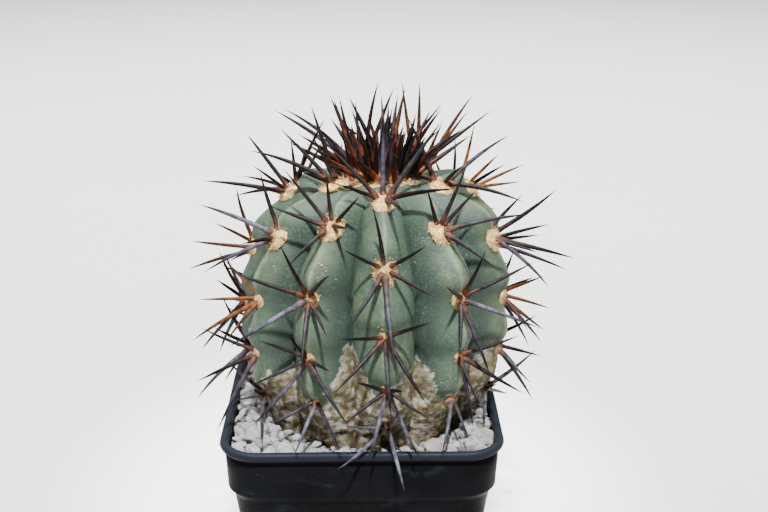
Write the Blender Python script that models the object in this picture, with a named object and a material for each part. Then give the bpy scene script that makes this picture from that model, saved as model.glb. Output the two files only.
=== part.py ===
"""Ribbed globe cactus with dark spines, in a square black nursery pot topped with white pumice.

Frame: metres, +Z up, origin at the centre of the pot's underside, front of the plant toward -Y.
Lengths below are in millimetres and become metres when a mesh is made.
"""

import math
import random

import bmesh
import bpy
import numpy as np
from mathutils import Vector

MM = 0.001
GAP = 0.3  # between pieces that touch
SEED = 11

# Pot: a 75 mm square nursery pot, half widths measured from its axis
POT_HEIGHT = 65.0
LIP_HALF = 37.5
LIP_WIDTH = 2.2
LIP_HEIGHT = 2.2
LIP_CORNER = 10.5
BAND_TOP_HALF = 36.1
BAND_BOTTOM_HALF = 35.6
BAND_DEPTH = 13.3  # from the top of the lip down to the step
STEP_IN = 1.6
STEP_DROP = 2.2
BASE_HALF = 27.5
BASE_CORNER = 6.5
WALL = 1.0
FLOOR = 1.5
CORNER_POINTS = 6
DRAIN_RADIUS = 3.0
DRAIN_OFFSET = 14.0

# Fill: potting mix, and the pumice over it
SOIL_TOP = POT_HEIGHT - 8.0
BED_TOP = POT_HEIGHT - 3.9
GRAIN_TOP = POT_HEIGHT - 1.6
GRAINS = 94
GRAIN_SIZE = 2.05
HOLE_SIDES = 28

# Stem: crest profile as (radius, height over the pot's lip), from the buried foot to the apex
CREST = (
    (19.0, -15.0), (24.0, -11.5), (27.6, -7.0), (29.6, -3.0), (31.3, 2.0), (33.3, 9.0),
    (35.0, 21.0), (34.9, 33.0), (33.1, 45.0), (28.6, 54.0), (22.0, 59.8), (14.0, 62.6),
    (6.0, 62.4), (0.0, 61.8),
)
STEM_X, STEM_Y = 2.4, 1.0  # where the stem's axis crosses the level of the lip
LEAN = 0.05  # the axis leans toward +X
RIBS = 11
# Azimuth of each rib's crest, degrees from -Y toward +X, near the crown, halfway down and at the foot
RIB_LINES = (
    (1.0, 2.8, 6.0), (31.5, 37.5, 36.5), (66.5, 74.0, 69.0), (106.0, 106.0, 103.0),
    (137.0, 138.0, 136.0), (169.0, 168.5, 170.0), (200.0, 201.0, 202.0), (233.0, 232.0, 233.5),
    (266.0, 265.0, 265.0), (301.0, 298.0, 300.0), (332.5, 329.5, 335.5),
)
RIB_LINE_ARCS = (22.0, 52.0, 80.0)
FURROW = 6.3
FURROW_STARTS, FURROW_FADES, FURROW_ENDS = (9.0, 34.0), (62.0, 86.0), (88.0, 94.0)  # mm from the apex
FURROW_FADE = 0.55
CREST_ROUND = 0.16  # share of the rib's half width over which its crest is rounded
FLAT_SHARE, BARREL = 0.7, 0.96  # how flat the flanks are, and how far round their barrel goes
BULGE = 2.3  # the rib swells most a little above each areole, which sits in the notch under the swelling
BULGE_ABOVE = 5.0
BULGE_LENGTHS = (6.5, 3.6)  # above and below the top of the swelling
SWELLS_FROM, SWELLS_TO = (8.0, 20.0), (84.0, 90.0)
RIB_STEPS = (-0.36, -0.15, 0.0, 0.15, 0.36, 0.5)  # points over one rib, crest at 0
RIBBED_ARCS = (14.0, 86.0)  # stretch of the stem with its swellings, mm from the apex
RING_STEP = 4.0
FOOT_RINGS, TOP_RINGS = 4, 2

# Areoles: distance along the crest from the apex is a + b n - c n^2, with n from each rib's phase
AREOLE_A, AREOLE_B, AREOLE_C = 18.6, 21.4, 1.42
PHASES = (0.0, 0.54, -0.08, 0.35, -0.10, 0.45, -0.05, 0.60, 0.30, -0.20, 0.47)
FIRST_AREOLE, LAST_AREOLE = 13.0, 84.0
PAD_RADIUS = 3.6
PAD_DEPTH = 2.5
PAD_SINK = 0.9
PAD_ARCS = (38.0, 47.0, 55.0, 64.0, 84.0)  # the pads get smaller down the stem
PAD_SIZES = (1.0, 0.80, 0.66, 0.56, 0.42)

# Spines: three-sided spikes, straight when short and bent at their middle when long
SPINE_RADIUS = 0.72
SPINE_SIDES = 3
SPINE_SINK = 2.2
SPINE_WAIST = 0.76  # radius at the middle, as a share of the radius at the root
SPINE_BEND = 0.035  # rise of the middle off a straight line, as a share of the length
STRAIGHT_BELOW = 13.0
SHORTEST, LONGEST = 13.0, 32.0
ROOT_SPREAD = 2.4  # of the roots round the middle of an areole
FULL_LEAN = 9.0  # sideways reach, in mm, from which a spine roots at its full spread
ROOT_CENTRING = 0.7  # share of an areole's common root offset that is taken out again
LIP_CLEARANCE = 1.0
GRAIN_CLEARANCE = 0.9
VIEW_YAW, VIEW_PITCH = 0.99, 19.4  # the view in which the spines below were measured, degrees
SPINE_TILT = 62.0  # of a spine from its areole's normal, where the view can't show it

# Spines seen in that view, by (rib, areole): where each tip lies from its areole, right and up
SEEN_SPINES = {
    (0, 0): ((-15, 14.5), (0, 21.5), (15, 20), (-12, 3.5), (17.4, 1.7), (5, -4)),
    (0, 1): ((-3, 15.5), (-10, 5), (10, 6), (-9.5, -14.5), (2.5, -24), (12, -6.5)),
    (0, 2): ((-11.5, 0.5), (11, 4.5), (-12.6, -13), (1.5, -19.5), (10, -15.5)),
    (0, 3): ((-7.5, 3.5), (4, 1.5), (-10.5, -7.6), (10.7, -6.4), (-4.8, -18), (8.7, -17.2)),
    (0, 4): ((-10.3, 2), (3.8, 6.2), (4.8, -14.7), (-12.7, -10)),
    (10, 0): ((-1, 14), (-12, 14.5), (-15.5, 5), (7.5, 7), (4.5, -1), (-9.5, -10)),
    (10, 1): ((-6.5, 13.5), (-19.5, 7), (-20.5, -12.5), (6, 6), (-1.2, -19.6), (5, -9.2)),
    (10, 2): ((-4, 6.5), (-12.5, 5), (-14.2, -6.6), (-14.6, -17.2), (6.1, -2.1), (10.9, -15.2)),
    (10, 3): ((-11.5, -5), (-5.4, -13), (6.5, -11.5)),
    (9, 0): ((-22.5, 8.5), (-14.5, 14.5), (-6.3, 20.8), (-9, 3), (-6, 13)),
    (9, 1): ((-4, 16.5), (-20, 8), (-8, -2.5), (-19, -10)),
    (9, 2): ((-15.5, 0), (-8.5, 10.5), (-8, -11), (-17, -11)),
    (9, 3): ((-14.5, 7), (-15.5, -7.5), (-10, -21)),
    (8, 0): ((-24, 2), (-12, 15), (-10, 6), (0, 14), (9.5, 18.5)),
    (8, 1): ((-18, -7), (-4, 16), (-10, 6), (-17, 1)),
    (1, 0): ((-4, 9.5), (6.5, 16.5), (9, 10), (22, 3.5), (13, -10.5)),
    (1, 1): ((5.5, 12.5), (18.5, 9.5), (-4.5, 3.5), (20, -7.5), (7, -19.3), (-1, -13.5)),
    (1, 2): ((15, 5.6), (16.4, -9.5), (3, -18), (4, -11.5)),
    (1, 3): ((-3, -13), (4, -9)),
    (2, 0): ((-9, 18), (18.5, 13), (5, 4), (-10, 2), (22, -5.3)),
    (2, 1): ((7.5, 11), (11.5, -4.5), (14.5, -14), (21.5, -6)),
    (2, 2): ((10, 5.5), (11, -9.5), (12.5, -3.5), (5.5, -9)),
    (2, 3): ((10.5, -1.5), (9, -14), (8, -9)),
    (3, 0): ((15.5, 5.5), (14, 0.5), (1.7, 16.8), (8, 8)),
    (3, 1): ((17, 14), (15, 4), (20, -9), (12, 1)),
    (4, 0): ((-5.4, 23.2), (-0.5, 23.2), (14.6, 19.8), (13, 15), (6, 12)),
    (6, 0): ((-24.2, 14.8), (-21.4, 15.1), (-5.5, 18.5), (-1, 17.5), (5.7, 23), (9.9, 21)),
}

# Those that arch upward in it: (rib, areole, place in its list) and by how many mm
ARCHED = {(2, 0, 4): 1.0}

# The other areoles follow a rule: direction round the areole (0 is up), tilt from its normal, length
RULE_SPINES = (
    (2, 66, 16.0), (-52, 68, 17.0), (54, 68, 17.0), (-112, 66, 16.0), (110, 66, 16.0),
    (-158, 62, 18.0), (170, 46, 21.0),
)

# Crown: a lens of wool over the apex, with the young spines standing in it
CROWN_RADIUS = 10.4
CROWN_RAISE = 3.0
CROWN_SIDES = 22
CROWN_SPINES = 46
CROWN_ROOTS = 9.2  # radius of the disc in which they root
CROWN_SPREAD = 56.0
CROWN_TILT_MOST = 64.0
CROWN_CLEARANCE = 2.0  # between the axes of a crown spine and a stem spine
CROWN_SPINE_RADIUS = 0.76  # of its spines
GOLDEN_ANGLE = 137.5

# Crown spines seen in that view: where the root lies right and back of the crown's middle, then where the
# tip lies right of it, above it and toward the viewer
CROWN_SEEN = (
    (-4.7, 0.0, -13.8, 22.8, 1.0), (-6.2, -2.0, -12.6, 21.6, 4.0), (1.0, 6.0, -8.9, 23.2, -4.0),
    (2.0, 8.0, 6.6, 25.9, -7.0), (2.0, 4.0, 16.6, 21.0, -1.0), (8.5, 3.0, 30.2, 19.3, -2.0),
    (8.3, -4.0, 24.0, 11.9, 6.0), (6.4, -4.0, 18.0, 11.9, 6.0), (5.0, -2.0, 9.4, 17.9, 3.0),
    (6.0, 4.0, 1.8, 18.3, -2.0), (1.0, 2.0, -3.5, 17.7, 1.0), (-1.5, -3.0, -9.3, 14.8, 6.0),
)
CROWN_SHIFTS = (0.0, 1.5, -1.5, 3.0, -3.0, 4.5, -4.5)  # toward the viewer, to keep off other spines

COLOURS = {
    "pot": ((0.018, 0.020, 0.024), 0.42),
    "potting_mix": ((0.060, 0.042, 0.030), 0.95),
    "pumice_top_dressing": ((0.700, 0.680, 0.660), 0.90),
    "cactus": ((0.135, 0.215, 0.160), 0.62),
    "crown_tuft": ((0.075, 0.022, 0.018), 0.55),
}


def clear_scene():
    for obj in list(bpy.data.objects):
        bpy.data.objects.remove(obj, do_unlink=True)
    for mesh in list(bpy.data.meshes):
        bpy.data.meshes.remove(mesh)
    for collection in list(bpy.data.collections):
        bpy.data.collections.remove(collection)


def new_collection(name):
    collection = bpy.data.collections.new(name)
    bpy.context.scene.collection.children.link(collection)
    return collection


def add_object(name, mesh, collection):
    obj = bpy.data.objects.new(name, mesh)
    collection.objects.link(obj)
    return obj


def give_material(obj, name):
    colour, roughness = COLOURS[name]
    mat = bpy.data.materials.new(name)
    mat.use_nodes = True
    shader = mat.node_tree.nodes["Principled BSDF"]
    shader.inputs["Base Color"].default_value = (*colour, 1.0)
    shader.inputs["Roughness"].default_value = roughness
    shader.inputs["Metallic"].default_value = 0.0
    mat.diffuse_color = (*colour, 1.0)
    obj.data.materials.clear()
    obj.data.materials.append(mat)


def loft(name, rings, tip=None):
    """Closed body through rings of points in mm, with a flat first end and a flat or pointed last."""
    bm = bmesh.new()
    loops = [[bm.verts.new(Vector(p) * MM) for p in ring] for ring in rings]
    n = len(loops[0])
    for low, high in zip(loops, loops[1:]):
        for i in range(n):
            j = (i + 1) % n
            bm.faces.new((low[i], low[j], high[j], high[i]))
    bm.faces.new(loops[0][::-1])
    if tip is None:
        bm.faces.new(loops[-1])
    else:
        end = bm.verts.new(Vector(tip) * MM)
        for i in range(n):
            bm.faces.new((loops[-1][i], loops[-1][(i + 1) % n], end))
    bmesh.ops.recalc_face_normals(bm, faces=bm.faces)
    mesh = bpy.data.meshes.new(name)
    bm.to_mesh(mesh)
    bm.free()
    return mesh


def apply_boolean(obj, collection, operation):
    """Cuts or joins a collection's objects into obj, then removes them."""
    mod = obj.modifiers.new("shape", "BOOLEAN")
    mod.operand_type = "COLLECTION"
    mod.collection = collection
    mod.operation = operation
    mod.solver = "EXACT"
    bpy.context.view_layer.update()
    graph = bpy.context.evaluated_depsgraph_get()
    mesh = bpy.data.meshes.new_from_object(obj.evaluated_get(graph))
    obj.modifiers.remove(mod)
    old = obj.data
    obj.data = mesh
    bpy.data.meshes.remove(old)
    for other in list(collection.objects):
        data = other.data
        bpy.data.objects.remove(other, do_unlink=True)
        if data.users == 0:
            bpy.data.meshes.remove(data)


def keep_outer_body(obj):
    """Leaves only the largest connected body: drops loose scraps and fills sealed hollows."""
    bm = bmesh.new()
    bm.from_mesh(obj.data)
    bmesh.ops.remove_doubles(bm, verts=bm.verts, dist=1e-7)
    bmesh.ops.dissolve_degenerate(bm, edges=bm.edges, dist=1e-7)
    seen, bodies = set(), []
    for start in bm.verts:
        if start in seen:
            continue
        seen.add(start)
        stack, body = [start], []
        while stack:
            vert = stack.pop()
            body.append(vert)
            for edge in vert.link_edges:
                other = edge.other_vert(vert)
                if other not in seen:
                    seen.add(other)
                    stack.append(other)
        bodies.append(body)
    bodies.sort(key=len)
    for body in bodies[:-1]:
        bmesh.ops.delete(bm, geom=body, context="VERTS")
    bm.to_mesh(obj.data)
    bm.free()


def rounded_square(half, corner, z):
    """Ring of points round a square with rounded corners, anticlockwise from the +X side."""
    centre = half - corner
    points = []
    for quarter, (sx, sy) in enumerate(((1, 1), (-1, 1), (-1, -1), (1, -1))):
        for i in range(CORNER_POINTS):
            a = math.radians(90 * quarter + 90 * i / (CORNER_POINTS - 1))
            points.append((sx * centre + corner * math.cos(a), sy * centre + corner * math.sin(a), z))
    return points


def pot_outside():
    """(half width, corner radius, height) up the outside of the pot to the top of its lip."""
    top = POT_HEIGHT
    lip = LIP_HALF
    return (
        (BASE_HALF - 0.8, BASE_CORNER - 0.8, 0.0),
        (BASE_HALF, BASE_CORNER, 0.8),
        (BAND_BOTTOM_HALF - STEP_IN, LIP_CORNER - 3.0, top - BAND_DEPTH - STEP_DROP),
        (BAND_BOTTOM_HALF, LIP_CORNER - 1.8, top - BAND_DEPTH),
        (BAND_TOP_HALF, LIP_CORNER - 1.4, top - LIP_HEIGHT - 0.5),
        (lip - 0.7, LIP_CORNER - 0.7, top - LIP_HEIGHT),
        (lip, LIP_CORNER, top - 0.6 * LIP_HEIGHT),
        (lip - 0.15, LIP_CORNER - 0.15, top - 0.25 * LIP_HEIGHT),
        (lip - 0.65, LIP_CORNER - 0.65, top),
    )


def pot_inside():
    """The same down the inside of the pot, from the top of the lip to the floor."""
    top = POT_HEIGHT
    inner = LIP_HALF - LIP_WIDTH
    return (
        (inner + 0.5, LIP_CORNER - LIP_WIDTH + 0.5, top),
        (inner, LIP_CORNER - LIP_WIDTH, top - 0.5),
        (BAND_TOP_HALF - WALL, LIP_CORNER - LIP_WIDTH - 0.1, top - LIP_HEIGHT - 0.5),
        (BAND_BOTTOM_HALF - WALL, LIP_CORNER - 1.8 - WALL, top - BAND_DEPTH),
        (BAND_BOTTOM_HALF - STEP_IN - WALL, LIP_CORNER - 3.0 - WALL, top - BAND_DEPTH - STEP_DROP),
        (BASE_HALF - WALL, BASE_CORNER - WALL, FLOOR),
    )


def make_pot(collection, cutters):
    rings = [rounded_square(*row) for row in pot_outside() + pot_inside()]
    pot = add_object("pot", loft("pot", rings), collection)
    for sx in (-1, 1):
        for sy in (-1, 1):
            bm = bmesh.new()
            bmesh.ops.create_cone(bm, cap_ends=True, segments=12, radius1=DRAIN_RADIUS * MM,
                                  radius2=DRAIN_RADIUS * MM, depth=3 * FLOOR * MM)
            mesh = bpy.data.meshes.new("drain")
            bm.to_mesh(mesh)
            bm.free()
            hole = add_object("drain", mesh, cutters)
            hole.location = (sx * DRAIN_OFFSET * MM, sy * DRAIN_OFFSET * MM, FLOOR * MM / 2)
            hole.hide_render = True
            hole.display_type = "WIRE"
    apply_boolean(pot, cutters, "DIFFERENCE")
    give_material(pot, "pot")


def inside_half(z):
    """Half width and corner radius of the pot's inside at a height."""
    rows = sorted(pot_inside(), key=lambda row: row[2])
    heights = [row[2] for row in rows]
    return (float(np.interp(z, heights, [row[0] for row in rows])),
            float(np.interp(z, heights, [row[1] for row in rows])))


def smooth_curve(points, steps=12):
    """Catmull-Rom curve through points."""
    pts = np.array(points, float)
    ends = np.vstack([2 * pts[0] - pts[1], pts, 2 * pts[-1] - pts[-2]])
    out = []
    for i in range(1, len(ends) - 2):
        a, b, c, d = ends[i - 1:i + 3]
        for t in np.arange(steps) / steps:
            out.append(0.5 * (2 * b + (c - a) * t + (2 * a - 5 * b + 4 * c - d) * t ** 2
                              + (3 * b - a - 3 * c + d) * t ** 3))
    out.append(pts[-1])
    return np.array(out)


PROFILE = smooth_curve(CREST)[::-1]  # from the apex down
ARC = np.concatenate([[0.0], np.cumsum(np.hypot(*np.diff(PROFILE, axis=0).T))])
ARC_END = float(ARC[-1])


def profile(s):
    """Crest radius, height over the pot's underside, and outward normal, s mm down from the apex."""
    r, z = (float(np.interp(s, ARC, PROFILE[:, i])) for i in (0, 1))
    d = 1.5
    r0, z0 = (float(np.interp(s - d, ARC, PROFILE[:, i])) for i in (0, 1))
    r1, z1 = (float(np.interp(s + d, ARC, PROFILE[:, i])) for i in (0, 1))
    tr, tz = r1 - r0, z1 - z0
    size = math.hypot(tr, tz)
    return r, z + POT_HEIGHT, -tz / size, tr / size


def ease(x, start, end):
    t = min(max((x - start) / (end - start), 0.0), 1.0)
    return t * t * (3 - 2 * t)


def areole_arcs(rib):
    """Distances of a rib's areoles from the apex, along the crest."""
    arcs = []
    for n in range(-1, 6):
        m = n + PHASES[rib]
        s = AREOLE_A + AREOLE_B * m - AREOLE_C * m * abs(m)
        if FIRST_AREOLE <= s <= LAST_AREOLE:
            arcs.append(s)
    return arcs


AREOLE_ARCS = [areole_arcs(rib) for rib in range(RIBS)]


def crest_azimuth(rib, s):
    """Azimuth of a rib's crest at s; ribs below 0 or past the last go on round the stem."""
    turns, index = divmod(rib, RIBS)
    return 360.0 * turns + float(np.interp(s, RIB_LINE_ARCS, RIB_LINES[index]))


def rib_azimuth(u, s):
    """Azimuth at a rib coordinate: whole numbers are crests, halves are furrows."""
    rib = math.floor(u)
    low, high = crest_azimuth(rib, s), crest_azimuth(rib + 1, s)
    return low + (high - low) * (u - rib)


def rib_section(w):
    """How far the skin lies under the crest: 0 on the crest, 1 in the furrow, with nearly flat flanks."""
    flank = (math.hypot(w, CREST_ROUND) - CREST_ROUND) / (math.hypot(1.0, CREST_ROUND) - CREST_ROUND)
    barrel = (1 - math.sqrt(1 - (BARREL * w) ** 2)) / (1 - math.sqrt(1 - BARREL ** 2))
    return FLAT_SHARE * flank + (1 - FLAT_SHARE) * barrel


def swelling(rib, s):
    """Swelling of a rib's crest at s, from 0 to about 1."""
    total = 0.0
    for a in AREOLE_ARCS[rib % RIBS]:
        x = s - (a - BULGE_ABOVE)
        total += math.exp(-(x / BULGE_LENGTHS[0 if x < 0 else 1]) ** 2)
    return total


def stem_point(u, s, bulge=BULGE):
    """Point on the stem's skin: u is the rib coordinate, s mm from the apex."""
    azimuth = rib_azimuth(u, s)
    r, z, nr, nz = profile(s)
    rib = round(u)
    w = min(abs(2 * (u - rib)), 1.0)
    depth = FURROW * ease(s, *FURROW_STARTS) * (1 - FURROW_FADE * ease(s, *FURROW_FADES))
    depth *= 1 - ease(s, *FURROW_ENDS)
    live = ease(s, *SWELLS_FROM) * (1 - ease(s, *SWELLS_TO))
    out = bulge * swelling(rib, s) * (1 - w * w) * live - depth * rib_section(w)
    r, z = r + nr * out, z + nz * out
    a = math.radians(azimuth)
    return np.array((STEM_X + LEAN * (z - POT_HEIGHT) + r * math.sin(a), STEM_Y - r * math.cos(a), z))


def unit(v):
    return v / np.linalg.norm(v)


def skin_frame(u, s):
    """Point on the stem's skin, with the normal and upward tangent of the stem without its swellings."""
    up = unit(stem_point(u, s - 1.5, 0.0) - stem_point(u, s + 1.5, 0.0))
    side = unit(stem_point(u + 0.05, s, 0.0) - stem_point(u - 0.05, s, 0.0))
    return stem_point(u, s), unit(np.cross(side, up)), up


def make_stem(collection):
    """The ribbed body: a loft of rings from the buried foot to the apex, close together where it swells."""
    across = [rib + step for rib in range(RIBS) for step in RIB_STEPS]
    top, foot = RIBBED_ARCS
    arcs = np.concatenate([np.linspace(ARC_END, foot, FOOT_RINGS, endpoint=False),
                           np.arange(foot, top, -RING_STEP),
                           np.linspace(top, 0.0, TOP_RINGS, endpoint=False)])
    rings = [[stem_point(u, s) for u in across] for s in arcs]
    return add_object("cactus", loft("cactus", rings, tip=stem_point(0.0, 0.0)), collection)


def add_pad(centre, normal, radius, collection):
    """Woolly pad of an areole: a low dome with its foot sunk in the rib."""
    bm = bmesh.new()
    bmesh.ops.create_uvsphere(bm, u_segments=8, v_segments=4, radius=1.0)
    turn = Vector((0, 0, 1)).rotation_difference(Vector(normal)).to_matrix()
    for vert in bm.verts:
        local = Vector((vert.co.x * radius, vert.co.y * radius, vert.co.z * PAD_DEPTH - PAD_SINK))
        vert.co = (Vector(centre) + turn @ local) * MM
    mesh = bpy.data.meshes.new("pad")
    bm.to_mesh(mesh)
    bm.free()
    add_object("pad", mesh, collection)


def spine_path(root, tip, bend, t):
    """Point at a share t of a spine's length: straight, with a slight even bend."""
    return root + (tip - root) * t + bend * (4 * t * (1 - t))


def add_spine(number, root, tip, bend, radius, sink, collection):
    """A slender spike, with its root sunk in what it grows from, each turned on its own axis."""
    along = unit(spine_path(root, tip, bend, 0.1) - root)
    across = unit(np.cross(along, (0.0, 0.0, 1.0) if abs(along[2]) < 0.8 else (1.0, 0.0, 0.0)))
    third = np.cross(along, across)

    def ring(centre, size):
        turns = [math.radians(GOLDEN_ANGLE * number + 360 * i / SPINE_SIDES) for i in range(SPINE_SIDES)]
        return [centre + size * (across * math.cos(a) + third * math.sin(a)) for a in turns]

    rings = [ring(root - along * sink, radius)]
    if np.linalg.norm(tip - root) >= STRAIGHT_BELOW:
        rings.append(ring(spine_path(root, tip, bend, 0.5), SPINE_WAIST * radius))
    add_object("spine", loft("spine", rings, tip=tip), collection)


def clears_pot(root, tip, bend):
    """Whether a spine stays over the pumice and off the lip, all along."""
    for t in np.linspace(0.2, 1.0, 17):
        x, y, z = spine_path(root, tip, bend, t)
        reach = max(abs(x), abs(y))
        over_lip = reach > LIP_HALF - LIP_WIDTH - LIP_CLEARANCE
        floor = POT_HEIGHT + LIP_CLEARANCE if over_lip else GRAIN_TOP + GRAIN_CLEARANCE
        if reach < LIP_HALF + LIP_CLEARANCE and z < floor:
            return False
    return True


def view_axes():
    """Right, up and toward the viewer, in the view in which the spines were measured."""
    yaw, pitch = math.radians(VIEW_YAW), math.radians(VIEW_PITCH)
    right = np.array((math.cos(yaw), -math.sin(yaw), 0.0))
    ahead = np.array((math.sin(yaw) * math.cos(pitch), math.cos(yaw) * math.cos(pitch), -math.sin(pitch)))
    return right, np.cross(right, ahead), -ahead


RIGHT, UP, NEAR = view_axes()


def reach_to_view(flat, normal):
    """How far a spine comes toward the viewer so that it leans SPINE_TILT from its areole's normal."""
    wanted = math.cos(math.radians(SPINE_TILT))
    low, high = -10.0, 24.0
    if float(unit(flat + NEAR * high) @ normal) < wanted:
        return 4.0
    for _ in range(30):
        middle = 0.5 * (low + high)
        if float(unit(flat + NEAR * middle) @ normal) < wanted:
            low = middle
        else:
            high = middle
    return high


def settle(point, normal, tip, lean, spread):
    """Starts a spine off its areole's middle, toward the side it leans to."""
    lean = lean - normal * float(lean @ normal)
    share = min(float(np.linalg.norm(lean)) / FULL_LEAN, 1.0)
    root = point + unit(lean) * spread * share + normal * 0.6
    length = float(np.linalg.norm(tip - root))
    bend = normal * (SPINE_BEND * length if length >= STRAIGHT_BELOW else 0.0)
    return root, tip, bend


def ring_roots(made, middle, normal):
    """Shifts an areole's roots together, so that they ring its middle."""
    offset = sum(root for root, _, _ in made) / len(made) - middle
    shift = (offset - normal * float(offset @ normal)) * ROOT_CENTRING
    return [(root - shift, tip, bend) for root, tip, bend in made]


def measured_spine(point, normal, spread, across, above):
    """Spine whose tip was measured in the view, right and up of its areole, brought clear of the pot."""
    flat = RIGHT * across + UP * above
    seen = float(np.linalg.norm(flat))
    least = math.sqrt(max(SHORTEST ** 2 - seen ** 2, 0.0))
    most = math.sqrt(max(LONGEST ** 2 - seen ** 2, 1.0))
    near = min(max(reach_to_view(flat, normal), least), most)
    for _ in range(24):
        spine = settle(point, normal, point + flat + NEAR * near, flat, spread)
        if clears_pot(*spine):
            break
        near += 1.5
    return spine


def ruled_spine(point, normal, up, spread, clock, tilt, length):
    """Spine by direction round its areole, tilt from the normal and length, raised clear of the pot."""
    side = np.cross(up, normal)
    for _ in range(24):
        c, t = math.radians(clock), math.radians(tilt)
        way = normal * math.cos(t) + (up * math.cos(c) + side * math.sin(c)) * math.sin(t)
        spine = settle(point, normal, point + way * length, way * length, spread)
        if clears_pot(*spine):
            break
        clock *= 0.94
        tilt *= 0.97
        length *= 0.985
    return spine


def pad_size(s):
    """Size of an areole's pad at s, as a share of the largest."""
    return float(np.interp(s, PAD_ARCS, PAD_SIZES))


def all_areoles():
    """Each areole's rib, number on it, distance from the apex, middle, normal and upward tangent."""
    for rib in range(RIBS):
        for number, s in enumerate(AREOLE_ARCS[rib]):
            point, normal, up = skin_frame(rib, s)
            yield rib, number, s, point, normal, up


def stem_spines():
    """Every spine of the stem as (root, tip, bend, radius)."""
    rng = random.Random(SEED)
    spines = []
    for rib, number, s, point, normal, up in all_areoles():
        middle = point + normal * 0.4
        spread = ROOT_SPREAD * (0.3 + 0.7 * pad_size(s))
        if (rib, number) in SEEN_SPINES:
            made = [measured_spine(middle, normal, spread, *tip) for tip in SEEN_SPINES[rib, number]]
            for place, (root, tip, bend) in enumerate(made):
                if (rib, number, place) in ARCHED:
                    made[place] = (root, tip, UP * ARCHED[rib, number, place])
        else:
            rule = RULE_SPINES if s < 74.0 else RULE_SPINES[1:5]
            young = 1 - ease(s, 20.0, 32.0)  # spines by the crown are longer and stand more upright
            made = []
            for clock, tilt, length in rule:
                tilt *= 1 - (0.34 if abs(clock) < 90 else 0.12) * young
                length *= (1 + 0.22 * young) * rng.uniform(0.75, 1.2)
                clock += rng.uniform(-9, 9)
                tilt += rng.uniform(-7, 7)
                made.append(ruled_spine(middle, normal, up, spread, clock, tilt, length))
        for root, tip, bend in ring_roots(made, middle, normal):
            spines.append((root, tip, bend, SPINE_RADIUS * rng.uniform(0.9, 1.08)))
    return spines


def closest(p, q, a, b):
    """Least distance between the segments pq and ab, from samples along both."""
    t = np.linspace(0, 1, 25)[:, None]
    one, two = p + (q - p) * t, a + (b - a) * t
    return float(np.sqrt(((one[:, None] - two[None]) ** 2).sum(-1)).min())


def clears_spines(root, tip, others):
    """Whether a crown spine, with the part of it that is sunk in the wool, keeps off the stem's spines."""
    foot = root - unit(tip - root)
    return all(closest(foot, tip, a, b) > CROWN_CLEARANCE for a, b in others)


def crown_frame(azimuth, s):
    """Point and normal on the stem's smooth top, by azimuth."""
    r, z, nr, nz = profile(s)
    a = math.radians(azimuth)
    level = np.array((math.sin(a), -math.cos(a), 0.0))
    centre = np.array((STEM_X + LEAN * (z - POT_HEIGHT), STEM_Y, z))
    return centre + level * r, level * nr + np.array((0.0, 0.0, nz))


def crown_spines(others):
    """Young spines, those seen in the view and then a golden-angle spiral, clear of the stem's spines."""
    rng = random.Random(SEED + 1)
    near = [(root, tip) for root, tip, _, _ in others if root[2] > POT_HEIGHT + 52.0]
    spines = []
    middle, _ = crown_frame(0.0, 0.0)
    for right, back, across, above, toward in CROWN_SEEN:
        base, normal = crown_frame(math.degrees(math.atan2(right, -back)), math.hypot(right, back))
        root = base + normal * 1.2
        for shift in CROWN_SHIFTS:
            tip = middle + RIGHT * across + UP * above + NEAR * (toward + shift)
            if clears_spines(root, tip, near):
                spines.append((root, tip, np.zeros(3), CROWN_SPINE_RADIUS))
                break
    for i in range(CROWN_SPINES):
        share = math.sqrt((i + 0.5) / CROWN_SPINES)
        for _ in range(40):
            turn = GOLDEN_ANGLE * i + rng.uniform(-14, 14)
            base, normal = crown_frame(turn, max(CROWN_ROOTS * share, 1.0))
            way = math.radians(turn + rng.uniform(-40, 40))
            tilt = math.radians(min(CROWN_SPREAD * share ** 1.3 + rng.uniform(-18, 18), CROWN_TILT_MOST))
            level = np.array((math.sin(way), -math.cos(way), 0.0))
            axis = np.array((0.0, 0.0, math.cos(tilt))) + level * math.sin(tilt)
            back = 0.5 - 0.5 * math.cos(math.radians(turn))
            length = 8.0 + 8.0 * rng.random() + (3.0 + 4.0 * back) * share
            root = base + normal * 1.2
            tip = root + axis * length
            if clears_spines(root, tip, near):
                spines.append((root, tip, level * (-SPINE_BEND * length), CROWN_SPINE_RADIUS))
                break
    return spines


def make_cactus(collection, pieces):
    stem = make_stem(collection)
    for _, _, s, point, normal, _ in all_areoles():
        add_pad(point, normal, PAD_RADIUS * pad_size(s), pieces)
    spines = stem_spines()
    for number, (root, tip, bend, radius) in enumerate(spines):
        add_spine(number, root, tip, bend, radius, SPINE_SINK, pieces)
    apply_boolean(stem, pieces, "UNION")
    keep_outer_body(stem)
    give_material(stem, "cactus")
    return spines


def make_crown(collection, pieces, others):

    def ring(s, raise_by):
        points = []
        for i in range(CROWN_SIDES):
            base, normal, _ = skin_frame(i * RIBS / CROWN_SIDES, s)
            points.append(base + normal * raise_by)
        return points

    arcs = (1.5, 5.0, 8.0, CROWN_RADIUS)
    rings = [ring(s, GAP + 0.05) for s in arcs]
    rings += [ring(CROWN_RADIUS, 0.9), ring(8.2, 1.8), ring(5.0, CROWN_RAISE), ring(1.5, CROWN_RAISE)]
    crown = add_object("crown_tuft", loft("crown_tuft", rings), collection)
    for number, (root, tip, bend, radius) in enumerate(crown_spines(others)):
        add_spine(number, root, tip, bend, radius, 0.0, pieces)
    apply_boolean(crown, pieces, "UNION")
    keep_outer_body(crown)
    give_material(crown, "crown_tuft")


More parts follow.
